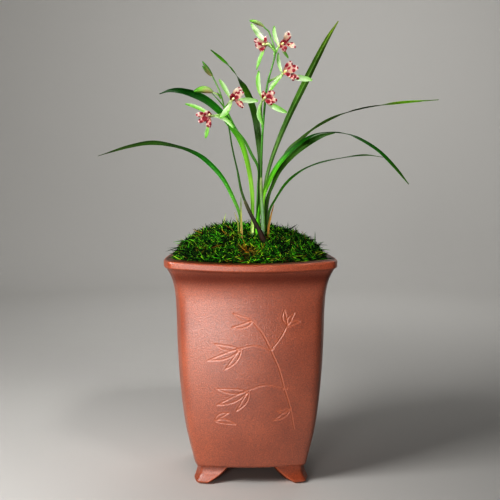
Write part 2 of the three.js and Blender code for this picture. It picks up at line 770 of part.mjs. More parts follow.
const orchid = new THREE.Group();
orchid.add(
  pot(),
  soil(),
  moss(),
  ...bulbs.map(pseudobulb),
  ...leaves.map((each) => leaf(each, leafSteps, 'leaf')),
  ...drySheaths.map((each) => leaf(each, sheathSteps, 'straw')),
  ...spikes.map(stem),
  ...spikes.map(stemSheath),
  ...blooms.map(bloomSepals),
  ...blooms.map(bloomPetals),
  ...buds.map(bud),
);

export default orchid;
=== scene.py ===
from math import radians

import bpy
import numpy as np
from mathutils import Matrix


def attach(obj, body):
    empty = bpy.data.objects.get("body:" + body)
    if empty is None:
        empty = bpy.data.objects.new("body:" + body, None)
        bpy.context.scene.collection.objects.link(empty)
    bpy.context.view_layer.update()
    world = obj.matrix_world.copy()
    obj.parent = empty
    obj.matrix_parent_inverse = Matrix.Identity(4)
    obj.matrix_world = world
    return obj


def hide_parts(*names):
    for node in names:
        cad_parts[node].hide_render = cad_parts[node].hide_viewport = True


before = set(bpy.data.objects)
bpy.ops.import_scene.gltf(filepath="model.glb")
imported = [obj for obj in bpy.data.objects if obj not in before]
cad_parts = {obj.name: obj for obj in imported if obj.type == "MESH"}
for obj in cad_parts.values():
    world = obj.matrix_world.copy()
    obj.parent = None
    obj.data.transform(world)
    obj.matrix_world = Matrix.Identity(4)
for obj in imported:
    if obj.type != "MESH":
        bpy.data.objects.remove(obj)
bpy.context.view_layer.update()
print("frame loaded")

# Sizes are in millimetres, and makePiece turns them to metres


# ---- camera, floor and light ----

studio = {
    "eye": (-19.96, -879.8, 308.9),
    "tilt": 4.32,  # degrees below the level
    "turn": -1.3,  # degrees from the pot's front
    "lens": 57.6,
    "floorColour": "#cac8c4",
    "floorRadius": 1.6,  # metres, as the rest of the room
    "floorRings": [0.001, 0.8],
    "wallRise": 1.7,
    "wallReach": 1.0,
    "roomColour": "#e6e8ea",
    "roomLight": 0.055,
}

# place, aim and width in metres, power in watts and spread in degrees
softboxes = {
    "keySoftbox": ((-0.58, -0.4, 0.58), (0, 0, 0.2), 0.36, 5.4, 180),
    "sheenSoftbox": ((-0.4, -1.15, 0.18), (0, 0, 0.15), 0.26, 4.4, 180),
    "topSoftbox": ((0.3, -0.55, 0.8), (0.03, -0.02, 0.44), 0.15, 0.22, 40),
    "fillSoftbox": ((-0.2, -1.7, 0.9), (0, 0, 0.25), 1.3, 0.4, 180),
    "backSoftbox": ((0.45, 1.0, 1.15), (0, 0, 0.25), 0.8, 1.6, 180),
    "wallSoftbox": ((0.3, 1.1, 1.5), (0, 2.3, 0.5), 1.0, 11, 180),
}


def toLinear(hexColour):
    # each sRGB channel c above 0.04045 becomes ((c + 0.055) / 1.055) to the power 2.4, and one below it
    # c / 12.92
    c = np.array([int(hexColour[i:i + 2], 16) / 255 for i in (1, 3, 5)])
    return np.append(np.where(c > 0.04045, ((c + 0.055) / 1.055) ** 2.4, c / 12.92), 1.0)


def addNode(tree, kind, settings=None, inputs=None):
    # an input is set to a value, or linked where the value is another node's output
    node = tree.nodes.new("ShaderNode" + kind)
    for name, value in (settings or {}).items():
        setattr(node, name, value)
    for name, value in (inputs or {}).items():
        if isinstance(value, bpy.types.NodeSocket):
            tree.links.new(value, node.inputs[name])
        else:
            node.inputs[name].default_value = value
    return node


def startMaterial(name):
    material = bpy.data.materials.new(name)
    material.use_nodes = True
    material.node_tree.nodes.clear()
    return material, material.node_tree


def finishMaterial(material, shaderInputs):
    # one shader with these inputs, wired to the material's output
    tree = material.node_tree
    shader = addNode(tree, "BsdfPrincipled", inputs=shaderInputs)
    addNode(tree, "OutputMaterial", inputs={"Surface": shader.outputs["BSDF"]})
    return material


def linkObject(name, data):
    thing = bpy.data.objects.new(name, data)
    bpy.context.scene.collection.objects.link(thing)
    return thing


def addSoftbox(name, place, aim, width, power, spread):
    # turned so that its own -Z looks along the way to its aim
    data = bpy.data.lights.new(name, "AREA")
    data.size = width
    data.energy = power
    data.spread = radians(spread)
    light = linkObject(name, data)
    light.location = place
    way = np.array(aim) - np.array(place)
    light.rotation_euler = (np.arctan2(np.hypot(way[0], way[1]), -way[2]), 0, np.arctan2(-way[0], way[1]))


def makeFloor():
    # floor and wall in one, turned round the pot's axis: flat, then up along a quarter of an ellipse
    angle = np.linspace(0, np.pi / 2, 16)
    reach = np.append(studio["floorRings"], studio["floorRadius"] + studio["wallReach"] * np.sin(angle))
    height = np.append([0, 0], studio["wallRise"] * (1 - np.cos(angle)))
    turn = np.linspace(0, 2 * np.pi, 96, endpoint=False)
    points = np.stack([
        reach[:, None] * np.cos(turn), reach[:, None] * np.sin(turn), height[:, None] + 0 * turn,
    ], -1)
    index = np.arange(points.size // 3).reshape(len(reach), len(turn))
    quads = np.stack([index[:-1], np.roll(index, -1, 1)[:-1], np.roll(index, -1, 1)[1:], index[1:]], -1)
    faces = quads.reshape(-1, 4)[:, ::-1].tolist() + [index[0].tolist()]
    mesh = bpy.data.meshes.new("paleFloor")
    mesh.from_pydata(points.reshape(-1, 3).tolist(), [], faces)
    mesh.shade_smooth()
    mesh.materials.append(finishMaterial(startMaterial("mattPaper")[0], {
        "Base Color": toLinear(studio["floorColour"]), "Roughness": 0.9,
    }))
    floor = linkObject("paleFloor", mesh)


def makeStudio():
    cameraData = bpy.data.cameras.new("camera")
    cameraData.lens = studio["lens"]
    cameraData.sensor_width = 36
    camera = linkObject("camera", cameraData)
    camera.location = np.array(studio["eye"]) * 0.001
    camera.rotation_euler = (radians(90 - studio["tilt"]), 0, radians(studio["turn"]))
    scene = bpy.context.scene
    scene.camera = camera
    scene.view_settings.view_transform = "Standard"
    scene.view_settings.look = "High Contrast"
    scene.world = bpy.data.worlds.new("softRoom")
    scene.world.use_nodes = True
    room = scene.world.node_tree.nodes["Background"]
    room.inputs["Color"].default_value = toLinear(studio["roomColour"])
    room.inputs["Strength"].default_value = studio["roomLight"]
    for name, values in softboxes.items():
        addSoftbox(name, *values)
    makeFloor()
    print("camera, floor and light are set")


makeStudio()


# ---- patterns ----

# A pattern's scale is how many of its spots or cells fit in a metre, where its vector is a place


def placeOf(tree):
    return addNode(tree, "TexCoord").outputs["Object"]


def readAttribute(tree, name, output="Fac"):
    return addNode(tree, "Attribute", {"attribute_name": name}).outputs[output]


def noise(tree, vector, scale, **inputs):
    return addNode(tree, "TexNoise", inputs={"Vector": vector, "Scale": scale, **inputs}).outputs[0]


def cells(tree, vector, scale):
    return addNode(tree, "TexVoronoi", inputs={"Vector": vector, "Scale": scale}).outputs["Distance"]


def stretch(tree, vector, scales):
    # each axis times its own scale
    return addNode(tree, "Mapping", inputs={0: vector, "Scale": scales}).outputs[0]


def remap(tree, value, low, high, newLow=0.0, newHigh=1.0):
    return addNode(tree, "MapRange", inputs={
        "Value": value, "From Min": low, "From Max": high, "To Min": newLow, "To Max": newHigh,
    }).outputs[0]


def mixColours(tree, share, *colours):
    # a colour is a hex text or a node's output
    first, second = (toLinear(colour) if isinstance(colour, str) else colour for colour in colours)
    return addNode(tree, "Mix", {"data_type": "RGBA"}, {0: share, 6: first, 7: second}).outputs[2]


def scaleColour(tree, colour, factor):
    return addNode(tree, "VectorMath", {"operation": "SCALE"}, {0: colour, "Scale": factor}).outputs[0]


def bump(tree, height, distance, strength=1.0):
    # the distance is in millimetres
    return addNode(tree, "Bump", inputs={
        "Height": height, "Distance": distance * 0.001, "Strength": strength,
    }).outputs[0]


def plantSkin(name, roughness, streak, streakStrength, mottle, bumpDepth, gloss=0.3):
    # A living surface. Its colour is the mesh's own tint, streaked lengthwise on the mesh's own grain and
    # mottled in spots. The widths of streaks and spots are in millimetres, and the bump follows the streaks.
    material, tree = startMaterial(name)
    grain = stretch(tree, readAttribute(tree, "grain", "Vector"), (1 / streak, 0.4, 0.02))
    streaks = noise(tree, grain, 1, Detail=2)
    spots = noise(tree, placeOf(tree), 1000 / mottle, Detail=2)
    colour = readAttribute(tree, "tint", "Color")
    colour = scaleColour(tree, colour, remap(tree, streaks, 0.3, 0.7, 1 - streakStrength, 1 + streakStrength))
    colour = scaleColour(tree, colour, remap(tree, spots, 0.3, 0.7, 0.86, 1.12))
    return finishMaterial(material, {
        "Base Color": colour, "Roughness": roughness, "IOR": 1.4, "Specular IOR Level": gloss,
        "Normal": bump(tree, streaks, bumpDepth, 0.5),
    })


# ---- shapes ----

def unit(vectors):
    return vectors / np.maximum(np.linalg.norm(vectors, axis=-1, keepdims=True), 1e-9)


def lengthAlong(line):
    return np.append(0, np.cumsum(np.linalg.norm(np.diff(line, axis=0), axis=1)))


def smoothRoute(points, count):
    # Centripetal Catmull-Rom spline: knots lie the square root of the distance apart, each span is a cubic
    # with slopes from its four nearest points, and the line is then cut into equal lengths
    p = np.array(points, float)
    p = np.vstack([2 * p[0] - p[1], p, 2 * p[-1] - p[-2]])
    gap = np.sqrt(np.linalg.norm(np.diff(p, axis=0), axis=1))[:, None]
    before, here, after = gap[:-2], gap[1:-1], gap[2:]
    a, b, c, d = p[:-3], p[1:-2], p[2:-1], p[3:]
    slopeB = ((b - a) / before - (c - a) / (before + here) + (c - b) / here) * here
    slopeC = ((c - b) / here - (d - b) / (here + after) + (d - c) / after) * here
    t = np.linspace(0, 1, 32, endpoint=False)[None, :, None]
    b, c, slopeB, slopeC = (v[:, None] for v in (b, c, slopeB, slopeC))
    fine = (2 * t**3 - 3 * t**2 + 1) * b + (t**3 - 2 * t**2 + t) * slopeB
    fine = fine + (3 * t**2 - 2 * t**3) * c + (t**3 - t**2) * slopeC
    fine = np.vstack([fine.reshape(-1, p.shape[1]), p[-2]])
    length = lengthAlong(fine)
    even = np.linspace(0, length[-1], count)
    return np.stack([np.interp(even, length, fine[:, i]) for i in range(p.shape[1])], 1)


def bendLine(start, bend, end, count):
    # quadratic curve: start, bend and end weighed by (1-t)^2, 2t(1-t) and t^2
    t = np.linspace(0, 1, count)[:, None]
    start, bend, end = (np.array(point, float) for point in (start, bend, end))
    return (1 - t) ** 2 * start + 2 * t * (1 - t) * bend + t**2 * end


def valueStops(stops, t):
    # straight steps between values at given shares of a length
    return np.interp(t, *zip(*stops))


def colourStops(stops, t):
    # the same for colours, as one row of colour per share
    places, colours = zip(*stops)
    values = np.array([toLinear(colour) for colour in colours])
    return np.stack([np.interp(t, places, channel) for channel in values.T], -1)[:, None]


def loftShell(rings, tint, grain=None, closedRows=False):
    # quads join each ring to the next; the end rings are capped, or joined to each other in a closed loft
    rows, columns = rings.shape[:2]
    index = np.arange(rows * columns).reshape(rows, columns)
    here = index if closedRows else index[:-1]
    above = np.roll(index, -1, 0) if closedRows else index[1:]
    quads = np.stack([here, np.roll(here, -1, 1), np.roll(above, -1, 1), above], -1).reshape(-1, 4)
    caps = [] if closedRows else [index[0][::-1].tolist(), index[-1].tolist()]
    points = rings.reshape(-1, 3)
    corners = (points - points.mean(0))[quads]
    spans = np.cross(corners[:, 2] - corners[:, 0], corners[:, 3] - corners[:, 1])
    if np.einsum("ij,ij->i", corners.mean(1), spans).sum() < 0:  # its volume is negative: inside out
        quads = quads[:, ::-1]
        caps = [cap[::-1] for cap in caps]
    return {
        "points": points,
        "faces": [quads],
        "caps": caps,
        "tint": np.broadcast_to(tint, (rows, columns, 4)).reshape(-1, 4),
        "grain": np.zeros_like(points) if grain is None else grain.reshape(-1, 3),
    }


def bladeShell(line, facing, halfWidths, fold, thickness, tint, ring=20, lift=0.0):
    # A thin lens carried along a line. Across it, a point is cos(angle) of the half width from the midrib and
    # sin(angle) of half the thickness from the middle surface, and each half rises from the midrib by the
    # fold.
    crease = 0.5  # millimetres over which the fold is rounded
    along = unit(np.gradient(line, axis=0))
    up = unit(facing - along * np.sum(facing * along, -1, keepdims=True))
    side = np.cross(along, up)
    angle = np.linspace(0, 2 * np.pi, ring, endpoint=False)
    across = np.cos(angle) * halfWidths[:, None]
    fold = np.broadcast_to(fold, halfWidths.shape)[:, None]
    rise = (np.sqrt(across**2 + crease**2) - halfWidths[:, None] / 2) * np.sin(fold) + lift
    rise = rise + np.sin(angle) * thickness / 2
    rings = line[:, None] + side[:, None] * (across * np.cos(fold))[..., None] + up[:, None] * rise[..., None]
    grain = np.stack([across, 0 * across + np.sin(angle), 0 * across + lengthAlong(line)[:, None]], -1)
    return loftShell(rings, tint, grain)


def tubeShell(line, radii, tint, sides=14, slant=0.0, flute=0.0, flutes=3):
    # A ring about the line at each row: cos(angle) and sin(angle) of the radius, with an optional wave of a
    # few flutes round it. With a slant, the ring's front reaches further along the line.
    along = unit(np.gradient(line, axis=0))
    across = unit(np.cross(np.array([0, 1.0, 0]), along))
    up = np.cross(along, across)
    angle = np.linspace(0, 2 * np.pi, sides, endpoint=False)
    radius = np.asarray(radii)[:, None] * (1 + flute * np.cos(flutes * angle))
    push = np.broadcast_to(slant, (len(line),))[:, None] * (1 - np.sin(angle)) / 2
    x, y = radius * np.cos(angle), radius * np.sin(angle)
    rings = line[:, None] + across[:, None] * x[..., None] + up[:, None] * y[..., None]
    rings = rings + along[:, None] * push[..., None]
    return loftShell(rings, tint, np.stack([x, y, 0 * x + lengthAlong(line)[:, None]], -1))


def makePiece(name, shells, material, slotName, *replaced, extra=None):
    # shells go one after another into one mesh, with their tint and grain as attributes of its points
    starts = np.cumsum([0] + [len(shell["points"]) for shell in shells])
    faces = []
    for start, shell in zip(starts, shells):
        for group in shell["faces"]:
            faces += (group + start).tolist()
        faces += [(np.array(cap) + start).tolist() for cap in shell["caps"]]
    mesh = bpy.data.meshes.new(name)
    mesh.from_pydata((np.concatenate([shell["points"] for shell in shells]) * 0.001).tolist(), [], faces)
    mesh.shade_smooth()
    for key, kind, field in (("tint", "FLOAT_COLOR", "color"), ("grain", "FLOAT_VECTOR", "vector")):
        values = np.concatenate([shell[key] for shell in shells]).astype(np.float32)
        mesh.attributes.new(key, kind, "POINT").data.foreach_set(field, values.ravel())
    for key, values in (extra or {}).items():
        mesh.attributes.new(key, "FLOAT", "POINT").data.foreach_set("value", values.astype(np.float32))
    mesh.materials.append(material)
    piece = linkObject(name, mesh)
    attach(piece, "root")
    if replaced:
        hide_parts(*replaced)


# ---- stoneware pot ----

pot = {
    "bow": 0.12,  # how far a side's middle stands out, as a share of the corner's half width
    "cornerRound": 0.05,  # at the rim
    "bodyRound": 0.1,
    "cornerShare": 0.95,  # where a side's close columns at its corners begin
    "rimTop": 234,
    "cornerRise": 3,
    "riseStart": 200,
    "drainRadius": 9,
    "floorUnder": 19,
    "floorTop": 27,
    "body": [
        (63.4, 19), (71.7, 56), (77, 100), (79.7, 145), (80.8, 184), (82.6, 204), (86.2, 217), (91.2, 226.4),
    ],
    "lip": [
        (91.8, 226.7), (92.9, 227.1), (93.5, 227.9), (93.6, 229.5), (93.7, 232), (93.5, 233.4), (92.8, 234.1),
        (91.2, 234.5), (88, 235.1), (85, 235.4), (82.8, 234.9), (81.6, 233.4), (81.2, 231),
    ],
    "cavity": [(78.4, 218), (74, 196), (72.6, 145), (69.7, 100), (64.5, 56), (60, 32), (57, 27)],
    "footTop": 22.5,
    "footOutside": [
        (59.5, 0), (62.2, 0.5), (64.3, 2.0), (64.2, 3.8), (62, 6.5), (60.2, 10), (59.4, 14.5), (59.4, 18),
        (59.5, 22.5),
    ],
    "footInside": [(51, 0), (49, 4), (49, 22.5)],
    "archSpan": 57,  # half a side of the feet, on which the arch is drawn
    "arch": [(26.5, 19), (30, 15.5), (35.2, 10.2), (40.6, 5.8), (44.6, 2.6), (46.8, 0.9), (48, 0)],
    "drawnAcross": (-0.66, 0.78),  # the stretch of the front, as shares of its half, that holds the sprig
    "drawnUp": (44, 202),
    "lineHalfWidth": 0.5,
    "lineDepth": 0.4,
    "burr": {"at": 1.15, "width": 0.35, "height": 0.12},  # clay pushed up beside a cut line
    "cleanRows": 13,  # rows of the lip that soil hasn't reached
    # painted shade darkening the neck under the rim: its height, width and depth
    "neck": {"height": 220, "width": 9, "dark": 0.7},
    "wornMatt": 0.45,
}


def rimShare(height):
    # 0 below the height where the corners start to rise, and 1 at the rim's top
    return np.clip((height - pot["riseStart"]) / (pot["rimTop"] - pot["riseStart"]), 0, 1)


def sideColumns(middle, corner=5):
    # shares of a side from -1 to just short of 1, with a few more columns at each rounded corner
    start = np.linspace(-1, -pot["cornerShare"], corner)[:-1]
    return np.concatenate([start, middle, -start[:0:-1]])


def planRing(along, side, halfWidth, height, rounding=pot["cornerRound"]):
    # A square whose sides bow out by a parabola. Near a corner the outline is a quadratic curve from one side
    # to the next, and the ring rises towards its corners near the rim. Arrays: along and side per column, the
    # half width and height per row, and the corner's share of a side, also per row where it changes.
    h, z = halfWidth[:, None], height[:, None]
    corner = h / (1 + pot["bow"])
    straight = 1 - np.broadcast_to(rounding, halfWidth.shape)[:, None]
    a = np.clip(along, -straight, straight)
    out = corner + (h - corner) * (1 - a**2)
    turn = np.clip((np.abs(along) - straight) / (1 - straight), 0, 1) / 2
    endOut = corner + (h - corner) * (1 - straight**2)
    x = (1 - turn) ** 2 * np.abs(a) * corner + 2 * turn * (1 - turn) * corner + turn**2 * endOut
    y = (1 - turn) ** 2 * out + 2 * turn * (1 - turn) * corner + turn**2 * straight * corner
    x = x * np.sign(along)
    sine, cosine = np.sin(side * np.pi / 2), np.cos(side * np.pi / 2)
    step = rimShare(z)
    rise = pot["cornerRise"] * step**2 * (3 - 2 * step) * along**2
    return np.stack([x * cosine + y * sine, x * sine - y * cosine, z + rise], -1)


# Stems as routes across and up the pot's front, and leaves as base across and up, direction in degrees,
# length and width
sprig = {
    "droop": 1.6,
    "stems": [
        [(44, 62), (40, 84), (34, 104)], [(33.4, 106), (28, 126), (20, 145)],
        [(19.2, 147), (11, 163), (0, 177)], [(31.5, 105.4), (36.5, 106)], [(17.6, 146), (22.6, 147.4)],
        [(33, 106), (14, 110), (-6, 104)], [(20, 146), (4, 151), (-14, 148)],
        [(20, 147), (30, 160), (36, 172)],
    ],
    "leaves": [
        (-6, 104, 176, 30, 5), (-5, 103, 205, 34, 5.5), (-3, 103, 238, 24, 4.5), (-14, 148, 168, 25, 4.5),
        (-13, 147, 200, 34, 5.5), (-11, 147, 232, 26, 4.5), (36, 172, 100, 16, 4), (36, 171, 60, 15, 4),
        (35, 170, 20, 15, 3.8), (0, 177, 158, 20, 4.2), (1, 176, 196, 22, 4.2), (40, 84, 214, 22, 4.2),
        (40, 84, 186, 15, 3.6), (-38, 72, 30, 17, 4), (-37, 71, -8, 21, 4.4),
    ],
}


def sprigLines():
    # A generic bamboo sprig. A leaf is a pair of arcs, base to tip, bowed apart by the sine of the way along.
    t = np.linspace(0, 1, 40)
    lines = [smoothRoute(route, 60) for route in sprig["stems"]]
    for x, z, angle, length, width in sprig["leaves"]:
        way = np.array([np.cos(radians(angle)), np.sin(radians(angle))])
        across = np.array([-way[1], way[0]])
        droop = np.sin(np.pi * t) * sprig["droop"]
        middle = np.array([x, z]) + np.outer(t * length, way) + np.outer(droop, across)
        for hand in (1, -1):
            lines.append(middle + np.outer(hand * width * np.sin(np.pi * t**0.8) / 2, across))
    return lines


def lineDistance(x, z):
    # distance from each point of the front to the nearest point of the drawn lines
    nearest = np.full(x.shape, 99.0)
    for line in sprigLines():
        low, high = line.min(0) - 3, line.max(0) + 3
        near = (x > low[0]) & (x < high[0]) & (z > low[1]) & (z < high[1])
        if near.any():
            a, b = line[:-1], line[1:]
            offset = np.stack([x[near], z[near]], -1)[:, None] - a
            share = np.clip((offset * (b - a)).sum(-1) / ((b - a) ** 2).sum(-1), 0, 1)
            gap = np.linalg.norm(offset - share[..., None] * (b - a), axis=-1).min(1)
            nearest[near] = np.minimum(nearest[near], gap)
    return nearest


def stonewareMaterial():
    # unglazed red-brown stoneware, pressed in a mould and smoothed by hand: sand of about 1 mm that catches
    # the light, pale specks that are in part painted glints, cloudy firing marks about 40 mm wide, paler raw
    # clay where a line is cut or an edge is worn, painted shade darkening the neck under the rim, and a rim
    # dulled by soil
    material, tree = startMaterial("unglazedStoneware")
    place = placeOf(tree)
    clouds = remap(tree, noise(tree, place, 26, Detail=3), 0.3, 0.7)
    sand = noise(tree, place, 800, Detail=3, Roughness=0.7)
    # pale specks of sand, in part painted glints: small painted highlights on the grains
    specksAndGlints = remap(tree, cells(tree, place, 430), 0.16, 0.05, 0, 0.5)
    colour = mixColours(tree, clouds, "#964a2e", "#a85838")
    colour = scaleColour(tree, colour, remap(tree, sand, 0.3, 0.7, 0.6, 1.35))
    colour = mixColours(tree, specksAndGlints, colour, "#c08468")
    # of these marks, the neck's dark red-brown is painted shade under the rim's overhang
    for mark, markColour in (("cut", "#c4683c"), ("grime", "#35220f"), ("paintedNeckShade", "#561a08")):
        colour = mixColours(tree, readAttribute(tree, mark), colour, markColour)
    return finishMaterial(material, {
        "Base Color": colour, "Roughness": 0.37, "IOR": 1.75,
        "Specular IOR Level": remap(tree, readAttribute(tree, "matt"), 0, 1, 0.9, 0.1),
        "Normal": bump(tree, sand, 0.4, 0.7),
    })


def potBody():
    # columns: close together on the front, where the sprig is cut, and wider apart elsewhere
    edge = pot["cornerShare"]
    left, right = pot["drawnAcross"]
    front = sideColumns(np.concatenate([
        np.linspace(-edge, left, 9)[:-1], np.linspace(left, right, 180), np.linspace(right, edge, 6)[1:],
    ]))
    plain = sideColumns(np.linspace(-edge, edge, 21))
    along = np.concatenate([front, plain, plain, plain])
    side = np.repeat(np.arange(4), [len(front), len(plain), len(plain), len(plain)])

    # rows: the underside from the drain hole out, the wall, the lip, and the inside down to the drain hole
    wall = smoothRoute(pot["body"], 400)
    low, high, hole = pot["floorUnder"], pot["floorTop"], pot["drainRadius"]
    start, end = pot["drawnUp"]
    heights = np.concatenate([
        np.linspace(low, start, 12)[:-1], np.arange(start, end, 0.85), np.linspace(end + 1, 226.4, 12),
    ])
    wall = np.stack([np.interp(heights, wall[:, 1], wall[:, 0]), heights], 1)
    lip, cavity = smoothRoute(pot["lip"], 34), smoothRoute(pot["cavity"], 20)
    under = [(hole, low), (hole + 1, low), (30, low), (52, low), (61, low)]
    floor = [(50, high), (30, high), (hole + 1, high), (hole, high - 1)]
    profile = np.vstack([under, wall, lip, cavity, floor])
    rounding = pot["bodyRound"] + (pot["cornerRound"] - pot["bodyRound"]) * rimShare(profile[:, 1])
    rings = planRing(along, side, profile[:, 0], profile[:, 1], rounding)
    # the floor turns from square to round towards the drain hole
    square = np.ones(len(profile))
    square[:4], square[-4:] = [0, 0.2, 0.6, 0.95], [0.95, 0.6, 0.2, 0]
    around = np.arctan2(rings[..., 1], rings[..., 0])
    circle = np.stack([profile[:, :1] * np.cos(around), profile[:, :1] * np.sin(around), rings[..., 2]], -1)
    rings = circle + (rings - circle) * square[:, None, None]

    row = np.arange(len(profile))[:, None]
    outside = row < len(under) + len(wall)
    onFront = (side == 0) & outside & (rings[..., 2] > start)
    distance = np.full(rings.shape[:2], 99.0)
    distance[onFront] = lineDistance(rings[..., 0][onFront], rings[..., 2][onFront])
    cut = np.clip(1.25 - distance / pot["lineHalfWidth"], 0, 1)
    burr = np.exp(-((distance - pot["burr"]["at"]) / pot["burr"]["width"]) ** 2)
    rings[..., 1] += pot["lineDepth"] * cut - pot["burr"]["height"] * burr * (1 - cut)

    # soil has dulled the rim's top and the inside: all the rows from the rim's outer edge inwards
    onTop = np.clip((row - len(under) - len(wall) - pot["cleanRows"]) / 3, 0, 1)
    patches = 0.8 + 0.2 * np.sin(0.9 * rings[..., 0]) * np.sin(0.8 * rings[..., 1] + 1)
    # under the rim the neck is painted darker by a bell curve: painted shade under the rim's overhang
    neck = pot["neck"]
    paintedNeckShade = neck["dark"] * np.exp(-(((rings[..., 2] - neck["height"]) / neck["width"]) ** 2)) * outside
    return loftShell(rings, clay, closedRows=True), {
        "cut": np.clip(0.85 * cut + 0.3 * burr, 0, 1),
        "grime": 0.95 * onTop * patches,
        "paintedNeckShade": paintedNeckShade,
        # on the outside the neck's painted shade also takes gloss away; the handled rim has lost some of its
        # sheen, and soil takes all of it
        "matt": np.where(outside, paintedNeckShade, pot["wornMatt"] + (1 - pot["wornMatt"]) * onTop),
    }


def potFeet():
    # a foot's face runs from the body down to the arch between the feet, and its sole joins the two faces
    edge = pot["cornerShare"]
    along = sideColumns(np.linspace(-edge, edge, 97))
    along, side = np.tile(along, 4), np.repeat(np.arange(4), len(along))
    lowest = np.interp(np.abs(along) * pot["archSpan"], *zip(*pot["arch"]))
    height = lowest + (pot["footTop"] - lowest) * np.linspace(1, 0, 18)[:, None] ** 1.3
    outside, inside = smoothRoute(pot["footOutside"], 200), smoothRoute(pot["footInside"], 60)
    half = np.vstack([
        np.interp(height, outside[:, 1], outside[:, 0]), np.interp(height[::-1], inside[:, 1], inside[:, 0]),
    ])
    height = np.vstack([height, height[::-1]])
    rings = planRing(along, side, np.ones(len(half)), np.zeros(len(half))) * half[..., None]
    rings[..., 2] = height
    none = np.zeros(half.shape)
    return loftShell(rings, clay, closedRows=True), {
        "cut": 0.5 * np.clip(1 - np.abs(height - lowest) / 3, 0, 1),  # worn at the arch's edge
        "grime": none, "paintedNeckShade": none, "matt": none + pot["wornMatt"],
    }


def makePot():
    shells, marks = zip(potBody(), potFeet())
    extra = {key: np.concatenate([mark[key].ravel() for mark in marks]) for key in marks[0]}
    makePiece("stoneware_pot", shells, stonewareMaterial(), "stoneware", "pot", extra=extra)
    print("pot made")


clay = toLinear("#9a5f4a")
makePot()


# ---- soil, pseudobulbs and moss ----

moss = {
    "halfWidth": 81,
    "edge": 235,
    "rise": 35,
    "fall": 0.4,
    "bump": 1.6,
    "matFoot": [(79.4, 226.6), (80.4, 231.0)],  # half width and height where the mat meets the pot's inside
    "matGap": 0.8,
    "sink": 6.0,  # the mat under the strands lies this much below the mound's outline
    "layers": 4,
    "layerStep": 0.6,
    "strands": 7000,  # in each layer
    "length": (7.0, 15.0),
    "wisps": 0.04,  # share of the strands that are longer
    "wispStretch": 1.8,
    "lift": (0.05, 1.0),  # share of the mound's normal in a strand's way
    "sag": 0.22,
    "curl": 0.9,
    "radius": (0.4, 0.72),
    "taper": [0.7, 1.0, 0.95, 0.6],
    "rings": [0, 0.32, 0.62, 0.86, 1.0],
    # painted shade: strands darker at the foot, down among the others; their pale tips are in part painted
    # light
    "footShadeTipLight": [0.15, 0.5, 1.1, 1.6, 1.9],  # dark at the foot, pale at the tip
    "greens": ["#081604", "#102e08", "#1e560c", "#42a014", "#70c420", "#b8dc3c"],
    "shares": [0.27, 0.25, 0.17, 0.15, 0.1, 0.06],
    "browns": ["#5c4216", "#94681c", "#8a7a2a"],
    "brownAt": (-3, -62),
    "brownRadius": (4, 12),
    "dead": 0.012,  # share of the strands that are brown anywhere
    "clump": 0.6,
    "grownTo": 0.985,  # share of the way from the mound's middle to its edge
    "bareRight": 0.0006,  # less of it for each millimetre to the right, where some soil lies bare
}


def moundHeight(x, y):
    # Share of the way from the mound's middle to its edge, from the bowed square's own equation; then the
    # edge's height plus a rise with round shoulders, a fall towards the edge, a lean to the back left and low
    # bumps.
    out, al = np.maximum(np.abs(x), np.abs(y)), np.minimum(np.abs(x), np.abs(y))
    bow = pot["bow"]
    corner = (out + np.sqrt(out**2 + 4 * (1 + bow) * bow * al**2)) / (2 * (1 + bow))
    share = np.clip((1 + bow) * corner / moss["halfWidth"], 0, 1)
    shoulder = np.sqrt(1 - np.clip(share, 0, 0.9995) ** 4)
    crown = 1 - moss["fall"] * (x**2 + y**2) / moss["halfWidth"] ** 2
    lean = 0.95 + 0.0065 * np.minimum(y, 8) - 0.0012 * x
    bumps = np.sin(0.21 * x + 1) * np.cos(0.17 * y) + np.sin(0.37 * y + 0.3 * x)
    edge = moss["edge"] + share * pot["cornerRise"] * np.clip(al / np.maximum(corner, 1), 0, 1) ** 2
    return edge + moss["rise"] * shoulder * crown * lean + moss["bump"] * bumps * shoulder, share


def soilMaterial():
    # bark and loam mix: dark crumbs about 4 mm wide, with paler edges
    material, tree = startMaterial("barkMix")
    crumbs = cells(tree, placeOf(tree), 260)
    return finishMaterial(material, {
        "Base Color": mixColours(tree, crumbs, "#1d150f", "#4a3826"), "Roughness": 0.95,
        "Normal": bump(tree, crumbs, 2),
    })


def bulbMaterial():
    # the skin of a pseudobulb: firm and green, ribbed from top to bottom, with dry brown flecks
    material, tree = startMaterial("pseudobulbSkin")
    ribs = noise(tree, stretch(tree, placeOf(tree), (700, 700, 60)), 1)
    return finishMaterial(material, {
        "Base Color": mixColours(tree, ribs, "#5f4a26", "#86a044"), "Roughness": 0.5, "IOR": 1.4,
        "Normal": bump(tree, ribs, 0.6),
    })


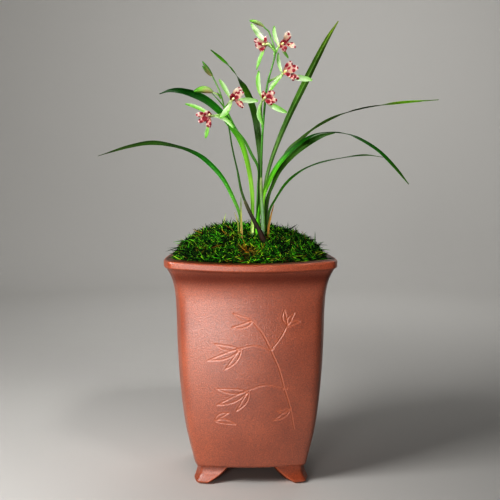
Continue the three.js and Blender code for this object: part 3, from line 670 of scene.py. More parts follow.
def strandShell(rng, count, sink):
    # Each strand is a three-sided stalk of four rings and a tip. It creeps along the mound in a random
    # direction, rises from it by a random share of the mound's normal, and curls sideways and down by the
    # square of the way.
    reach = moss["halfWidth"] + 1
    xy = rng.uniform(-reach, reach, (count * 2, 2))
    z, share = moundHeight(*xy.T)
    kept = share < moss["grownTo"] - moss["bareRight"] * np.maximum(xy[:, 0], 0)
    xy, z = xy[kept][:count], z[kept][:count]
    (x, y), n = xy.T, len(z)
    slope = np.stack([moundHeight(x + 0.5, y)[0] - z, moundHeight(x, y + 0.5)[0] - z], 1) * 2
    normal = unit(np.column_stack([-slope, np.ones(n)]))
    stray = unit(rng.normal(size=(n, 3)))
    way = unit(unit(np.cross(normal, stray)) + normal * rng.uniform(*moss["lift"], (n, 1)))
    length = rng.uniform(*moss["length"], (n, 1))
    length = length * np.where(rng.random((n, 1)) < moss["wisps"], moss["wispStretch"], 1)
    foot = np.column_stack([xy, z - sink]) - way * length * 0.3
    t = np.array(moss["rings"])[:, None, None]
    sag = np.array([0, 0, -1.0]) * rng.uniform(0.0, moss["sag"], (n, 1)) * length
    curl = np.cross(way, normal) * rng.uniform(-moss["curl"], moss["curl"], (n, 1)) * length
    middle = foot + way * length * t + (sag + curl) * t**2
    across = unit(np.cross(way, stray + 0.01))
    other = np.cross(way, across)
    radius = rng.uniform(*moss["radius"], (n, 1)) * np.array(moss["taper"])[:, None, None]
    angle = np.array([0, 2.1, 4.2])[:, None]
    ring = across[:, None] * np.cos(angle) + 0.6 * other[:, None] * np.sin(angle)
    rings = (middle[:4, :, None] + radius[..., None] * ring).transpose(1, 0, 2, 3).reshape(n, 12, 3)
    points = np.concatenate([rings, middle[4][:, None]], 1)
    band = np.array([[0, 1, 4, 3], [1, 2, 5, 4], [2, 0, 3, 5]])
    quads = np.concatenate([band, band + 3, band + 6])
    tris = np.array([[9, 10, 12], [10, 11, 12], [11, 9, 12], [2, 1, 0]])
    start = np.arange(n)[:, None, None] * 13

    # colours: a green by chance, brown in a few patches, in clumps that are lighter and darker by two sines,
    # and darker towards the left and right
    greens, browns = (np.array([toLinear(c) for c in moss[key]]) for key in ("greens", "browns"))
    tones = greens[rng.choice(len(greens), n, p=moss["shares"])]
    patch = np.sin(0.11 * x + 0.6) * np.sin(0.13 * y + 2.2) + 0.2 * rng.normal(size=n)
    brown = np.hypot(x - moss["brownAt"][0], y - moss["brownAt"][1]) < rng.uniform(*moss["brownRadius"], n)
    dead = (patch > 1.0) | brown | (rng.random(n) < moss["dead"])
    tones[dead] = browns[rng.integers(0, len(browns), dead.sum())]
    clump = 1 + moss["clump"] * np.sin(0.33 * x + 1.3) * np.sin(0.29 * y + 0.4)
    clump = clump * np.clip(1.0 - 0.008 * np.abs(x), 0.55, 1.0)
    # painted shade at the strands' feet and painted light at their tips
    footShadeTipLight = np.repeat(moss["footShadeTipLight"], [3, 3, 3, 3, 1])[:, None]
    tint = np.clip(tones[:, None] * footShadeTipLight * clump[:, None, None], 0, 1)
    tint[..., 3] = 1
    return {
        "points": points.reshape(-1, 3),
        "faces": [(quads + start).reshape(-1, 4), (tris + start).reshape(-1, 3)],
        "caps": [],
        "tint": tint.reshape(-1, 4),
        "grain": np.zeros((n * 13, 3)),
    }


def makeMoss():
    # the mat under the strands: rings of the pot's plan, two against its inside and the rest at the mound's
    # own height
    edge = pot["cornerShare"]
    along = sideColumns(np.linspace(-edge, edge, 15), 3)
    along, side = np.tile(along, 4), np.repeat(np.arange(4), len(along))
    share = np.cos(np.linspace(0, np.pi / 2, 22))[:-1]
    foot = np.array(moss["matFoot"])
    half = np.append(foot[:, 0], moss["halfWidth"] * share - moss["matGap"])
    height = np.append(foot[:, 1], 0 * share + moss["edge"])
    rings = planRing(along, side, half, height)
    rings[2:, :, 2] = moundHeight(rings[2:, :, 0], rings[2:, :, 1])[0] - moss["sink"]
    # the mat's near-black colour is painted shade in the gaps between the strands
    mat = loftShell(rings, toLinear("#0a1605"))
    makePiece("moss_mat_shade", [mat], plantSkin("mossMatShade", 0.95, 1.5, 0.3, 3, 0.6), "moss", "moss_mound")
    # moss leaflets: fine and green, a little glossy when damp
    skin = plantSkin("mossStrand", 0.62, 1.0, 0.0, 2.5, 0.02)
    for layer in range(moss["layers"]):
        sink = moss["sink"] - 0.5 - moss["layerStep"] * layer
        strands = strandShell(np.random.default_rng(40 + layer), moss["strands"], sink)
        makePiece(f"moss_strands_{layer + 1}", [strands], skin, "moss")


def dressHidden():
    # the potting mix and the pseudobulbs stay CAD solids under the moss, with materials of their own
    soil, skin = soilMaterial(), bulbMaterial()
    for name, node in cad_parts.items():
        if name == "potting_soil" or name.startswith("pseudobulb"):
            node.data.materials.clear()
            node.data.materials.append(soil if name == "potting_soil" else skin)


makeMoss()
dressHidden()
print("soil, pseudobulbs and moss made")


# ---- leaves ----

leafShape = {
    "thickness": 0.6,
    "baseFold": 52,  # degrees
    "foldedTo": 0.4,  # share of the length where the base's fold has passed into the leaf's own
    "rows": 110,
    "ring": 24,
    "waveHeight": 0.25,
    "waves": 26,  # radians of the edge's sine in a leaf's length
    "ribWidth": 0.12,  # share of the half width
}

# halfWidths are at shares of a leaf's length. turns are degrees that the blade is turned about its own line
# from facing the front. The pair after fold is painted light and shade on its left and right side, and rib is
# how much paler its midrib is, in part a painted highlight along its crease.
leaves = {
    "leaf_far_left": {
        "route": [
            (-8, -21.5, 250), (-9, -21, 267), (-11, -20, 283), (-18, -14, 300), (-30.5, 1, 322.4),
            (-50.7, 23, 343.2), (-66, 40, 352.4), (-85, 58, 359.2), (-116, 83, 364.6), (-145, 99, 361),
            (-184, 111.9, 350),
        ],
        "halfWidths": [
            (0, 1.9), (0.15, 2.3), (0.3, 2.7), (0.4, 2.6), (0.5, 2), (0.57, 1.5), (0.65, 2.2), (0.75, 2.9),
            (0.85, 2.7), (0.93, 1.6), (1, 0.2),
        ],
        "turns": [(0, -45), (0.15, -57), (0.4, -62), (0.55, -76), (0.68, -58), (0.8, -60), (1, -62)],
        "colours": [
            (0, "#76944c"), (0.1, "#507e28"), (0.2, "#46861e"), (0.28, "#286e0e"), (0.4, "#166208"),
            (0.5, "#1a460c"), (0.6, "#203812"), (0.8, "#36581a"), (0.9, "#48662c"), (1, "#344c1e"),
        ],
        "fold": 14, "paintedSideShade": (1.0, 0.8), "rib": 0.25,
    },
    "leaf_wide_left": {
        "route": [
            (2.5, -25, 250), (2, -25, 265), (1.7, -25, 305), (-3.2, -24, 337), (-11, -22, 361.5),
            (-21.3, -20, 377.5), (-32, -16, 391.5), (-47, -11, 404.5), (-61, -7, 411.5), (-76, 0, 416),
            (-88, 5, 416.5), (-99, 10, 413.5),
        ],
        "halfWidths": [
            (0, 1.6), (0.15, 1.8), (0.25, 2.2), (0.4, 2.6), (0.6, 3.3), (0.75, 4.1), (0.85, 4.3), (0.92, 2.8),
            (0.96, 0.9), (1, 0.2),
        ],
        "turns": [(0, 0), (1, 8)],
        "colours": [
            (0, "#dcdebe"), (0.06, "#b6ca80"), (0.15, "#74a63a"), (0.3, "#76a03a"), (0.45, "#5e9622"),
            (0.55, "#408214"), (0.65, "#1e6206"), (0.75, "#0e4604"), (0.85, "#063602"), (1, "#083202"),
        ],
        "fold": -4, "paintedSideShade": (1.0, 0.84), "rib": 0.2,
    },
    "leaf_upper_left": {
        "route": [
            (8, -7.5, 250), (8.5, -8.5, 268), (9.5, -11, 290), (11, -9, 332), (9.8, -3, 357), (6.2, 8, 387),
            (-0.3, 20, 410.5), (-10.3, 34, 431.3), (-19, 43, 444.5), (-31, 53, 458), (-44, 61, 470),
        ],
        "halfWidths": [
            (0, 1.6), (0.25, 2.1), (0.35, 2.3), (0.5, 3.7), (0.7, 4.0), (0.8, 3.3), (0.9, 2.4), (0.96, 1.8),
            (1, 0.3),
        ],
        "turns": [(0, 0), (0.74, 0), (0.8, 56), (0.85, 74), (0.9, 25), (0.95, 10), (1, 10)],
        "colours": [
            (0, "#468c14"), (0.15, "#346a0a"), (0.22, "#34501e"), (0.31, "#1e3412"), (0.4, "#406420"),
            (0.5, "#284410"), (0.6, "#345a12"), (0.8, "#365c14"), (0.9, "#488416"), (1, "#345a16"),
        ],
        "fold": 6, "paintedSideShade": (0.95, 0.8), "rib": 0.1,
    },
    "leaf_tall_right": {
        "route": [
            (12.5, -3, 250), (13, -3, 270), (16.5, 1, 311), (20.8, 4, 331.6), (30.6, 7, 360.2),
            (43.5, 11, 390.3), (59.4, 16, 423), (73.5, 20, 451.4), (88.4, 25, 479.4), (99.4, 28, 496.6),
        ],
        "halfWidths": [(0, 1.5), (0.3, 2.0), (0.5, 2.9), (0.7, 3.8), (0.85, 3.1), (0.95, 1.8), (1, 0.2)],
        "turns": [(0, 0), (1, 0)],
        "colours": [
            (0, "#5c7c3c"), (0.3, "#64884a"), (0.4, "#648646"), (0.5, "#3e5e26"), (0.6, "#486e28"),
            (0.7, "#44681e"), (0.8, "#365410"), (0.9, "#4c6a12"), (1, "#748c1c"),
        ],
        "fold": -16, "paintedSideShade": (0.8, 0.55), "rib": 0.5,
    },
    "leaf_far_right": {
        "route": [
            (17.9, -14.2, 250), (17.9, -13.6, 270), (20, -9, 298), (30.2, -9, 329), (41.8, -9, 351.6),
            (54, -17, 362.6), (69.5, -32, 375), (88.8, -46, 384.6), (111, -60, 390.8), (146, -77, 395),
            (183.7, -88, 397),
        ],
        "halfWidths": [(0, 0.9), (0.2, 1.2), (0.4, 2.5), (0.7, 2.6), (0.9, 2.2), (1, 0.2)],
        "turns": [
            (0, -20), (0.4, -34), (0.5, -34), (0.6, -42), (0.66, -58), (0.7, -76), (0.78, -78), (0.84, -50),
            (1, -45),
        ],
        "colours": [
            (0, "#243e12"), (0.4, "#425e28"), (0.55, "#2e4418"), (0.75, "#283e10"), (0.85, "#4c6c0c"),
            (0.92, "#5c8c08"), (1, "#4a7208"),
        ],
        "fold": 8, "paintedSideShade": (1.0, 0.85), "rib": 0.1,
    },
    "leaf_arching_right": {
        "route": [
            (15.4, -18, 250), (14.4, -18.6, 266), (13, -24, 299), (18.8, -27, 315.5), (28.5, -33, 334),
            (40.4, -39, 348.2), (53.6, -46, 359), (69, -55, 366.2), (84, -63, 366.8), (98, -71, 364.2),
            (112, -80, 356.8), (126, -89, 346), (139, -100, 330.4), (150, -111.9, 314),
        ],
        "halfWidths": [(0, 1.6), (0.2, 2.4), (0.4, 3.1), (0.6, 2.6), (0.85, 2.7), (0.95, 1.7), (1, 0.2)],
        "turns": [
            (0, 0), (0.2, -12), (0.35, -34), (0.45, -42), (0.55, -58), (0.64, -72), (0.72, -30), (0.85, -15),
            (1, -15),
        ],
        "colours": [
            (0, "#92cc50"), (0.18, "#7eba38"), (0.26, "#549016"), (0.35, "#429012"), (0.42, "#1a5206"),
            (0.55, "#0c3a02"), (0.7, "#1e4a10"), (0.85, "#1c5808"), (0.95, "#3a621c"), (1, "#426422"),
        ],
        "fold": 8, "paintedSideShade": (0.8, 1.1), "rib": 0.6,
    },
    "leaf_under_right": {
        "route": [
            (17, -15.6, 250), (16.6, -16, 268), (17, -17, 296), (22.6, -18, 310.5), (30.2, -17, 327.8),
            (42.7, -16, 343.6), (60.2, -13, 357.8), (77.6, -10, 367), (92, -7, 370.2),
        ],
        "halfWidths": [
            (0, 0.9), (0.3, 1.2), (0.5, 2.5), (0.6, 3.0), (0.75, 3.5), (0.87, 3.0), (0.95, 1.4), (1, 0.2),
        ],
        "turns": [(0, 0), (1, 0)],
        "colours": [(0, "#2c4e12"), (0.4, "#36561c"), (0.6, "#345614"), (0.85, "#28500c"), (1, "#34581a")],
        "fold": 12, "paintedSideShade": (0.85, 1.1), "rib": 0.1,
    },
    "leaf_low_right": {
        "route": [
            (20.5, -26.5, 250), (19.5, -26, 268), (20.4, -24, 285.6), (26.8, -20, 298), (39.5, -10, 316.2),
            (56.8, 4, 329.8), (76.4, 16, 338.2), (105, 36, 344.8), (137, 55, 349), (159, 68, 347),
        ],
        "halfWidths": [(0, 1.2), (0.3, 1.8), (0.7, 1.7), (0.9, 1.6), (1, 0.2)],
        "turns": [(0, -45), (0.3, -48), (0.6, -54), (0.75, -54), (0.9, -42), (1, -40)],
        "colours": [
            (0, "#42562a"), (0.2, "#345e18"), (0.3, "#386a1c"), (0.5, "#306218"), (0.65, "#244a0a"),
            (0.85, "#28500a"), (0.95, "#44760e"), (1, "#2c4c0a"),
        ],
        "fold": 8, "paintedSideShade": (1.0, 1.0), "rib": 0.2,
    },
    "leaf_narrow_back": {
        "route": [
            (6, -2, 250), (7, -3, 273), (9, 0, 308), (9, 4, 333), (2, 12, 348), (-6, 20, 364), (-15, 27, 376),
            (-29, 41, 403), (-43, 51, 420),
        ],
        "halfWidths": [(0, 1.2), (0.4, 1.8), (0.8, 1.7), (1, 0.2)],
        "turns": [(0, -45), (0.5, -52), (1, -50)],
        "colours": [(0, "#3c5e22"), (0.3, "#4c8034"), (0.5, "#3a6a1c"), (0.65, "#44782a"), (1, "#386a12")],
        "fold": 10, "paintedSideShade": (1.0, 1.0), "rib": 0.1,
    },
    "young_leaf": {
        "route": [(7.9, -25.4, 250), (7.9, -25.6, 267), (8.4, -26, 279), (9.2, -26.4, 293)],
        "halfWidths": [(0, 2.5), (0.4, 2.6), (0.75, 1.5), (1, 0.2)],
        "turns": [(0, 5), (1, 5)],
        "colours": [(0, "#7ab838"), (0.4, "#5cb41c"), (1, "#57a01e")],
        "fold": 20, "paintedSideShade": (1.6, 0.72), "rib": 0.0,
    },
}


def bladeFacing(line, turns):
    # the front, leaning to the right and up by the square of how much the line runs to the front or back, and
    # then turned about the line
    along = unit(np.gradient(line, axis=0))
    towards = unit(np.array([0, -1.0, 0]) + along[:, 1:2] ** 2)
    angle = np.radians(turns)[:, None]
    return towards * np.cos(angle) + np.cross(along, towards) * np.sin(angle)


def leafPiece(name, look, material):
    # The blade is folded along its midrib (backwards where fold is negative), more so at its base, and its
    # edges wave. Its midrib is painted paler, in part a painted highlight along the crease, and its two sides
    # are
    # painted lighter and darker: painted light and shade.
    t = np.linspace(0, 1, leafShape["rows"])
    line = smoothRoute(look["route"], len(t))
    halfWidths = np.convolve(np.pad(valueStops(look["halfWidths"], t), 4, "edge"), np.ones(9) / 9, "valid")
    facing = bladeFacing(line, valueStops(look["turns"], t))
    fold = np.radians(np.interp(t, [0, leafShape["foldedTo"]], [leafShape["baseFold"], look["fold"]]))
    across = np.cos(np.linspace(0, 2 * np.pi, leafShape["ring"], endpoint=False))
    wave = np.sin(leafShape["waves"] * t[:, None] + len(name)) * across * np.abs(across)
    # painted light and shade: one side of the blade lighter, the other darker, and a paler midrib that is in
    # part a painted highlight
    shade = np.where(across < 0, *look["paintedSideShade"]) ** np.minimum(1, 6 * np.abs(across))
    shade = shade * (1 + look["rib"] * np.exp(-((across / leafShape["ribWidth"]) ** 2)))
    tint = colourStops(look["colours"], t) * np.stack([shade, shade, shade, 1 + 0 * shade], -1)
    shell = bladeShell(
        line, facing, halfWidths / np.cos(fold), fold, leafShape["thickness"], np.clip(tint, 0, 1),
        ring=leafShape["ring"], lift=leafShape["waveHeight"] * wave,
    )
    makePiece(f"{name}_blade", [shell], material, "leaf", name)


def makeLeaves():
    # strap leaves: waxy and smooth, with fine parallel veins about a millimetre apart
    waxy = plantSkin("waxyStrapLeaf", 0.42, 0.8, 0.1, 25, 0.12, 0.22)
    for name, look in leaves.items():
        leafPiece(name, look, waxy)
    print("leaves made")


makeLeaves()


# ---- dry sheaths ----

drySheaths = {
    "dry_sheath_left": {
        "halfWidth": 1.5, "turn": -20,
        "route": [(-9, -27.5, 250), (-9.3, -27.5, 264), (-10, -28, 283), (-10.2, -28.5, 301)],
        "colours": [(0, "#925c2a"), (0.25, "#a68e58"), (0.6, "#929652"), (0.85, "#6a823e"), (1, "#5a7834")],
    },
    "dry_sheath_small": {
        "halfWidth": 1.2, "turn": -20,
        "route": [(-13, -23, 250), (-13, -23, 270), (-14.5, -23, 277), (-17, -23, 285)],
        "colours": [(0, "#644c1c"), (0.5, "#808c3a"), (1, "#a29c6c")],
    },
    "dry_sheath_right": {
        "halfWidth": 1.7, "turn": 20,
        "route": [(19.2, -29.4, 250), (18.8, -29.5, 267), (20.8, -31, 279), (24.4, -33, 293)],
        "colours": [(0, "#7a5a2a"), (0.35, "#b88c48"), (0.7, "#b8924e"), (1, "#8a5a38")],
    },
}


def makeDrySheaths():
    # dead sheaths: papery straw, matt, with coarse fibres that show as streaks
    papery = plantSkin("paperyDrySheath", 0.75, 0.55, 0.28, 6, 0.25)
    t = np.linspace(0, 1, 44)
    # half width: full at the base, drawn to a point by (1 - t^2)^0.7, with a ragged edge of two sines
    taper = (1 - t**2) ** 0.7 * (1 + 0.08 * np.sin(31 * t) + 0.05 * np.sin(53 * t))
    for name, look in drySheaths.items():
        line = smoothRoute(look["route"], len(t))
        facing = bladeFacing(line, look["turn"] + 0 * t)
        halfWidths = look["halfWidth"] * taper + 0.2
        shell = bladeShell(line, facing, halfWidths, radians(40), 0.5, colourStops(look["colours"], t))
        makePiece(f"{name}_blade", [shell], papery, "straw", name)
    print("dry sheaths made")


makeDrySheaths()


# ---- flower spikes ----

# nodes are where the stem swells, and a sheath wraps a share of the stem in a tube of its own outer radius
spikes = {
    "spike_a": {
        "route": [
            (13, -31.5, 219), (13, -31.5, 261), (12.6, -31, 285), (11.4, -31, 303), (11, -31, 321),
            (11.6, -30, 351), (13, -29, 376), (15, -27, 398), (18, -25, 421), (23, -25, 439), (26, -25, 453),
            (24, -25, 461), (21, -24, 470), (19, -24, 475), (16, -26, 477), (13.5, -28, 479),
        ],
        "radii": [(0, 1.3), (0.5, 1.2), (0.72, 1.1), (0.8, 0.85), (1, 0.7)],
        "nodes": [0.44, 0.6, 0.78, 0.86],
        "colours": [
            (0, "#6c8458"), (0.38, "#36581f"), (0.5, "#407426"), (0.6, "#4c8a34"), (0.8, "#4c7a34"),
            (1, "#5c8a40"),
        ],
        "sheath": {
            "slot": "stem", "from": 0.15, "to": 0.36, "slant": 7,
            "outer": [(0, 1.9), (0.4, 1.6), (0.9, 1.65), (1, 1.4)],
            "colours": [(0, "#84a07c"), (0.5, "#7c9c74"), (0.85, "#728a50"), (1, "#8a9464")],
        },
    },
    "spike_b": {
        "route": [
            (17, -39.5, 219), (15.2, -39.5, 250), (9.4, -40, 265), (0, -41, 283), (-9.3, -42, 305),
            (-14.2, -42, 329), (-19.4, -41, 352), (-23.2, -39, 375), (-27.6, -37, 394), (-31, -35, 407),
            (-36, -33, 419), (-40, -32, 427),
        ],
        "radii": [(0, 1.5), (0.35, 1.4), (0.45, 1.2), (0.55, 0.8), (0.75, 0.75), (1, 0.6)],
        "nodes": [0.5, 0.76, 0.86],
        "colours": [
            (0, "#32261f"), (0.3, "#3c3c2c"), (0.4, "#3a5424"), (0.5, "#305a18"), (0.6, "#244410"),
            (0.75, "#2e5816"), (0.9, "#568434"), (1, "#4c782e"),
        ],
        "sheath": {
            "slot": "purple", "from": 0.14, "to": 0.36, "slant": 5,
            "outer": [(0, 3.8), (0.15, 3.1), (0.4, 2.2), (0.7, 1.85), (1, 1.6)],
            "colours": [
                (0, "#342018"), (0.2, "#3a261e"), (0.5, "#342c26"), (0.75, "#3e3a2e"), (1, "#56563a"),
            ],
        },
    },
}

stalkShape = {
    "radii": (0.75, 1.5),  # at its foot and at the bloom
    "sideBud": [(-30.5, -35.5, 404), (-35, -35, 409), (-40, -35, 410)],  # foot, bend and end of its stalk
    "sideBudRadii": (0.75, 1.05),
    "colours": [(0, "#648f3d"), (0.4, "#89aa65"), (1, "#acbe8e")],
    "bractLength": 7,
    "bractHalfWidth": 1.7,
    "bractColours": [(0, "#6a9c3a"), (0.6, "#5b8f33"), (1, "#809254")],
}

# A bloom's foot is where its stalk leaves the stem. Each sepal is its foot and tip from the bloom's centre,
# how far its middle bows to the left of the way to its tip, its half width, and how white it is. Each lobe is
# its foot and tip, its half width, and its crimson spots: share of its length, share of the half width across
# it, and radius.
blooms = {
    "bloom_a": {
        "spike": "spike_a", "centre": (16.4, -24, 461.5), "facing": (-0.62, -0.72, -0.3),
        "foot": (26, -25, 454), "stalk": (1.5, 2.6),
        "sepals": [
            ((0, 0, 1), (-15.6, 6, 22.4), 0.8, 2.9, 0.75),
            ((-0.4, 0, -1), (-9.8, 4, -26), -1.2, 2.3, 0.05),
            ((1, 1.5, 0), (9, 16, -1), 0, 2.3, 0.5),
        ],
        "lobes": [
            ((0, -1, -1), (-13.4, -3, 4.5), 3.2, [(0.55, -0.7, 1.8), (0.97, 0.6, 2.5), (0.8, -0.9, 1.4)]),
            ((0, -1.5, -2), (-12.4, -5, -1.8), 3.4, [(0.5, 0.8, 2.2), (0.98, -0.3, 2.4), (0.3, 0.3, 1.2)]),
            ((-1, -1.5, -2.5), (-7.2, -4, -8.2), 2.6, [(0.45, 0.1, 2.5), (0.95, 0.4, 2.0)]),
            ((0, 0, 0), (-1, 0, 8.4), 2.2, [(0.55, 0.1, 2.0)]),
        ],
    },
    "bloom_b": {
        "spike": "spike_a", "centre": (31, -27, 459.5), "facing": (0.5, -0.85, 0.15), "foot": (26, -25, 452),
        "sepals": [
            ((-0.4, 1, 0.4), (-6, 3, 21), 1.6, 2.3, 0.5),
            ((0.5, 1, -1), (9.2, 6, -12), 0.6, 1.7, 0.1),
            ((-1, 0, -0.5), (-6.4, 2, -10), 0, 1.7, 0.1),
        ],
        "lobes": [
            ((4, -2, 2), (9.6, -5.2, 14.8), 3.9, [(0.7, 0.1, 1.4), (0.25, 0.85, 2.0), (0.48, 0.9, 1.3)]),
            ((4, -3, 2), (17, -6.4, -2), 3.2, [(0.97, 0.3, 2.1), (0.5, -0.9, 1.4), (0.3, 0.2, 1.2)]),
            (
                (1, -3, 1), (4.2, -9, -7.2), 4.0,
                [(0.3, 0.7, 2.0), (0.55, -0.6, 2.1), (0.75, 0.3, 1.5), (0.95, -0.6, 1.4)],
            ),
            ((0, -1, 0), (5.6, -8, 4.6), 3.2, [(0.4, 0.1, 2.8), (0.85, 0.5, 2.4), (0.8, -0.7, 2.0)]),
        ],
    },
    "bloom_c": {
        "spike": "spike_a", "centre": (34.6, -25, 431), "facing": (0.45, -0.85, 0.2),
        "foot": (18.5, -25, 422),
        "sepals": [
            ((-1, 1, 1), (-5, 6, 22.5), 1.0, 2.1, 0.45),
            ((-0.6, 0, -1.6), (-14.8, -7, -20.4), -1.4, 2.6, 0.3),
            ((6, 1, -3.4), (31, 4, -6.4), 0.8, 3.6, 0.65),
        ],
        "lobes": [
            (
                (0, -2, 0), (9, -6.4, 12.4), 3.8,
                [(0.3, 0.8, 2.1), (0.5, -0.8, 2.4), (0.8, 0.8, 1.7), (0.93, -0.5, 1.4)],
            ),
            (
                (1, -3, 0), (15.6, -8, 6.6), 3.9,
                [(0.55, 0.5, 1.8), (0.96, 0.5, 1.8), (0.7, -0.7, 2.1), (0.35, -0.9, 1.8)],
            ),
            ((6, -3, -1), (11.2, -7, -8), 2.5, [(0.3, 0.3, 2.1), (0.7, -0.9, 1.7), (0.96, 0.5, 1.5)]),
            ((6, -2, -1), (17, -4.4, -5.6), 2.6, [(0.45, 0.3, 2.2), (0.9, 0.5, 2.1)]),
            ((0, -3, 0), (8.4, -6.6, -3.4), 2.5, [(0.5, 0, 2.4)]),
        ],
    },
    "bloom_d": {
        "spike": "spike_a", "centre": (13, -35, 402.6), "facing": (0.3, -0.92, 0.1), "foot": (12.8, -29, 374),
        "sepals": [
            ((-1, 0, 1.6), (-4.4, 1, 30), 2.0, 2.5, 0.25),
            ((-0.6, 0, -1.6), (0.4, -2, -26.5), -4.4, 2.4, 0.2),
            ((3, 1, -1.6), (25, 3, -13), -0.8, 3.3, 0.35),
        ],
        "lobes": [
            ((0, -1, -0.6), (0.8, -5, 8.6), 2.8, [(0.35, -0.5, 1.8), (0.7, 0.7, 1.8), (0.9, -0.5, 1.4)]),
            (
                (2, -3, 1), (11.4, -8.3, 8.2), 3.6,
                [(0.3, 0.4, 2.7), (0.6, -0.9, 1.7), (0.9, 0.8, 1.8), (0.95, -0.4, 1.4)],
            ),
            ((3, -3, 0), (14.6, -7.3, -1.6), 3.6, [(0.3, -0.5, 2.5), (0.97, -0.2, 2.1), (0.65, 0.9, 1.8)]),
            ((2, -4, 0), (9.6, -8.2, -5.6), 3.3, [(0.4, 0.3, 2.4), (0.75, -0.8, 1.8), (0.97, 0.4, 1.7)]),
        ],
    },
    "bloom_e": {
        "spike": "spike_b", "centre": (-20.2, -46, 400.4), "facing": (0.35, -0.92, 0.1),
        "foot": (-27.5, -37, 392),
        "sepals": [
            ((-0.6, 1, 2), (-12.4, -2, 21), -0.8, 2.5, 0.45),
            ((5, 2, 0), (27.6, 4, 0), 0.7, 3.1, 0.62),
            ((0, 0, -1.6), (-11.6, -5, -18.6), 1.2, 3.2, 0.4),
        ],
        "lobes": [
            (
                (0, -2, 0), (10.5, -5.2, 12.8), 4.6,
                [(0.75, 0.35, 1.7), (0.5, 0.9, 2.0), (0.3, 0.2, 2.2), (0.93, -0.7, 1.2), (0.5, -0.2, 1.2)],
            ),
            ((1, -3, 0), (12.8, -8.4, 8.4), 3.2, [(0.3, 0.1, 2.0), (0.6, -0.8, 1.7), (0.92, 0.2, 1.4)]),
            (
                (4, -3, 0), (13, -5.3, -7.6), 2.9,
                [
                    (0.45, -0.95, 1.5), (0.7, -0.95, 1.5), (0.35, 0.95, 1.5), (0.65, 0.95, 1.5),
                    (0.92, 0.6, 1.2),
                ],
            ),
            ((0, -3, 0), (1.6, -8, 6.4), 3.0, [(0.3, -0.3, 2.6), (0.7, 0.3, 2.6), (0.95, -0.6, 1.5)]),
        ],
    },
    "bloom_f": {
        "spike": "spike_b", "centre": (-41, -44, 385), "facing": (-0.35, -0.92, -0.05),
        "foot": (-26.5, -38, 388),
        "sepals": [
            ((-0.6, 0, 0.4), (-27, 4, 12.4), -1.8, 2.1, 0.15),
            ((1.6, 1, -0.6), (23, -3, -13.2), 3.6, 2.3, 0.35),
            ((-3.4, 0, -8), (-6, -2, -23.4), 0, 2.2, 0.0),
        ],
        "lobes": [
            (
                (-1, -2, 0), (-16.4, -5.7, 0.8), 2.9,
                [(0.9, -0.2, 1.5), (0.55, 0.7, 2.0), (0.3, -0.7, 1.8), (0.7, -0.95, 1.2)],
            ),
            ((-1, -3, -1), (-13.6, -7.7, -7.2), 2.9, [(0.4, 0.1, 2.8), (0.75, -0.6, 2.2), (0.8, 0.8, 1.5)]),
            (
                (-2, -3, -2), (-2.6, -6, -12.6), 3.1,
                [(0.35, 0.7, 2.0), (0.6, -0.7, 1.8), (0.85, 0.5, 1.5), (0.95, -0.7, 1.4)],
            ),
            ((0, -3, 0), (-7, -8.6, 3.2), 3.2, [(0.35, 0.5, 2.0), (0.75, -0.6, 1.8)]),
        ],
    },
}


def stalkShells(foot, bend, end, radii):
    # a thin stalk, whose radius grows towards the bloom by t^1.5, with a pointed bract at its foot
    t = np.linspace(0, 1, 22)
    radius = radii[0] + (radii[1] - radii[0]) * t**1.5
    tint = colourStops(stalkShape["colours"], t)
    stalk = tubeShell(bendLine(foot, bend, end, len(t)), radius, tint, sides=12, flute=0.06)
    foot = np.array(foot, float)
    way = unit(np.array(bend, float) - foot)
    t = np.linspace(0, 1, 18)
    tip = foot + way * stalkShape["bractLength"] + [0, -2.4, 0.6]
    leaf = bendLine(foot, foot + way * 3.2 + [0, -0.4, 0], tip, len(t))
    halfWidths = stalkShape["bractHalfWidth"] * (1 - t**2) + 0.12
    outward = np.broadcast_to([0, -1.0, 0.1], leaf.shape)
    tint = colourStops(stalkShape["bractColours"], t)
    return [stalk, bladeShell(leaf, outward, halfWidths, 0.6, 0.4, tint, ring=14)]


def makeSpikes():
    # living stems: smooth and faintly ribbed. Their sheaths: a thin dry-edged membrane with parallel veins
    green = plantSkin("flowerStem", 0.45, 0.5, 0.1, 8, 0.08)
    membrane = plantSkin("stemSheath", 0.6, 0.45, 0.26, 5, 0.2)
    t = np.linspace(0, 1, 130)
    for name, look in spikes.items():
        # the stem's radius swells a little at each node, by a narrow bell curve
        line = smoothRoute(look["route"], len(t))
        swell = 1 + sum(0.22 * np.exp(-(((t - place) / 0.006) ** 2)) for place in look["nodes"])
        radii = valueStops(look["radii"], t) * swell
        shells = [tubeShell(line, radii, colourStops(look["colours"], t), flute=0.04, flutes=5)]
        for bloom in blooms.values():
            if bloom["spike"] == name:
                front = unit(np.array(bloom["facing"], float))
                back = np.array(bloom["centre"]) - front * 1.2
                bend = back - front * 0.4 * np.linalg.norm(bloom["foot"] - back)
                shells += stalkShells(bloom["foot"], bend, back, bloom.get("stalk", stalkShape["radii"]))
        if name == "spike_b":
            shells += stalkShells(*stalkShape["sideBud"], stalkShape["sideBudRadii"])
        makePiece(f"{name}_green", shells, green, "stem", f"{name}_stem")

        # the sheath: a tube round the stem, thicker at its base, whose front runs up to a slanted point
        sheath = look["sheath"]
        share = np.linspace(0, 1, 60)
        within = sheath["from"] + (sheath["to"] - sheath["from"]) * share
        middle = np.stack([np.interp(within, t, line[:, i]) for i in range(3)], 1)
        wrap = tubeShell(
            middle, valueStops(sheath["outer"], share), colourStops(sheath["colours"], share), sides=22,
            slant=sheath["slant"] * share**5, flute=0.05, flutes=6,
        )
        makePiece(f"{name}_wrap", [wrap], membrane, sheath["slot"], f"{name}_sheath")
    print("flower spikes made")


makeSpikes()


# ---- blooms ----

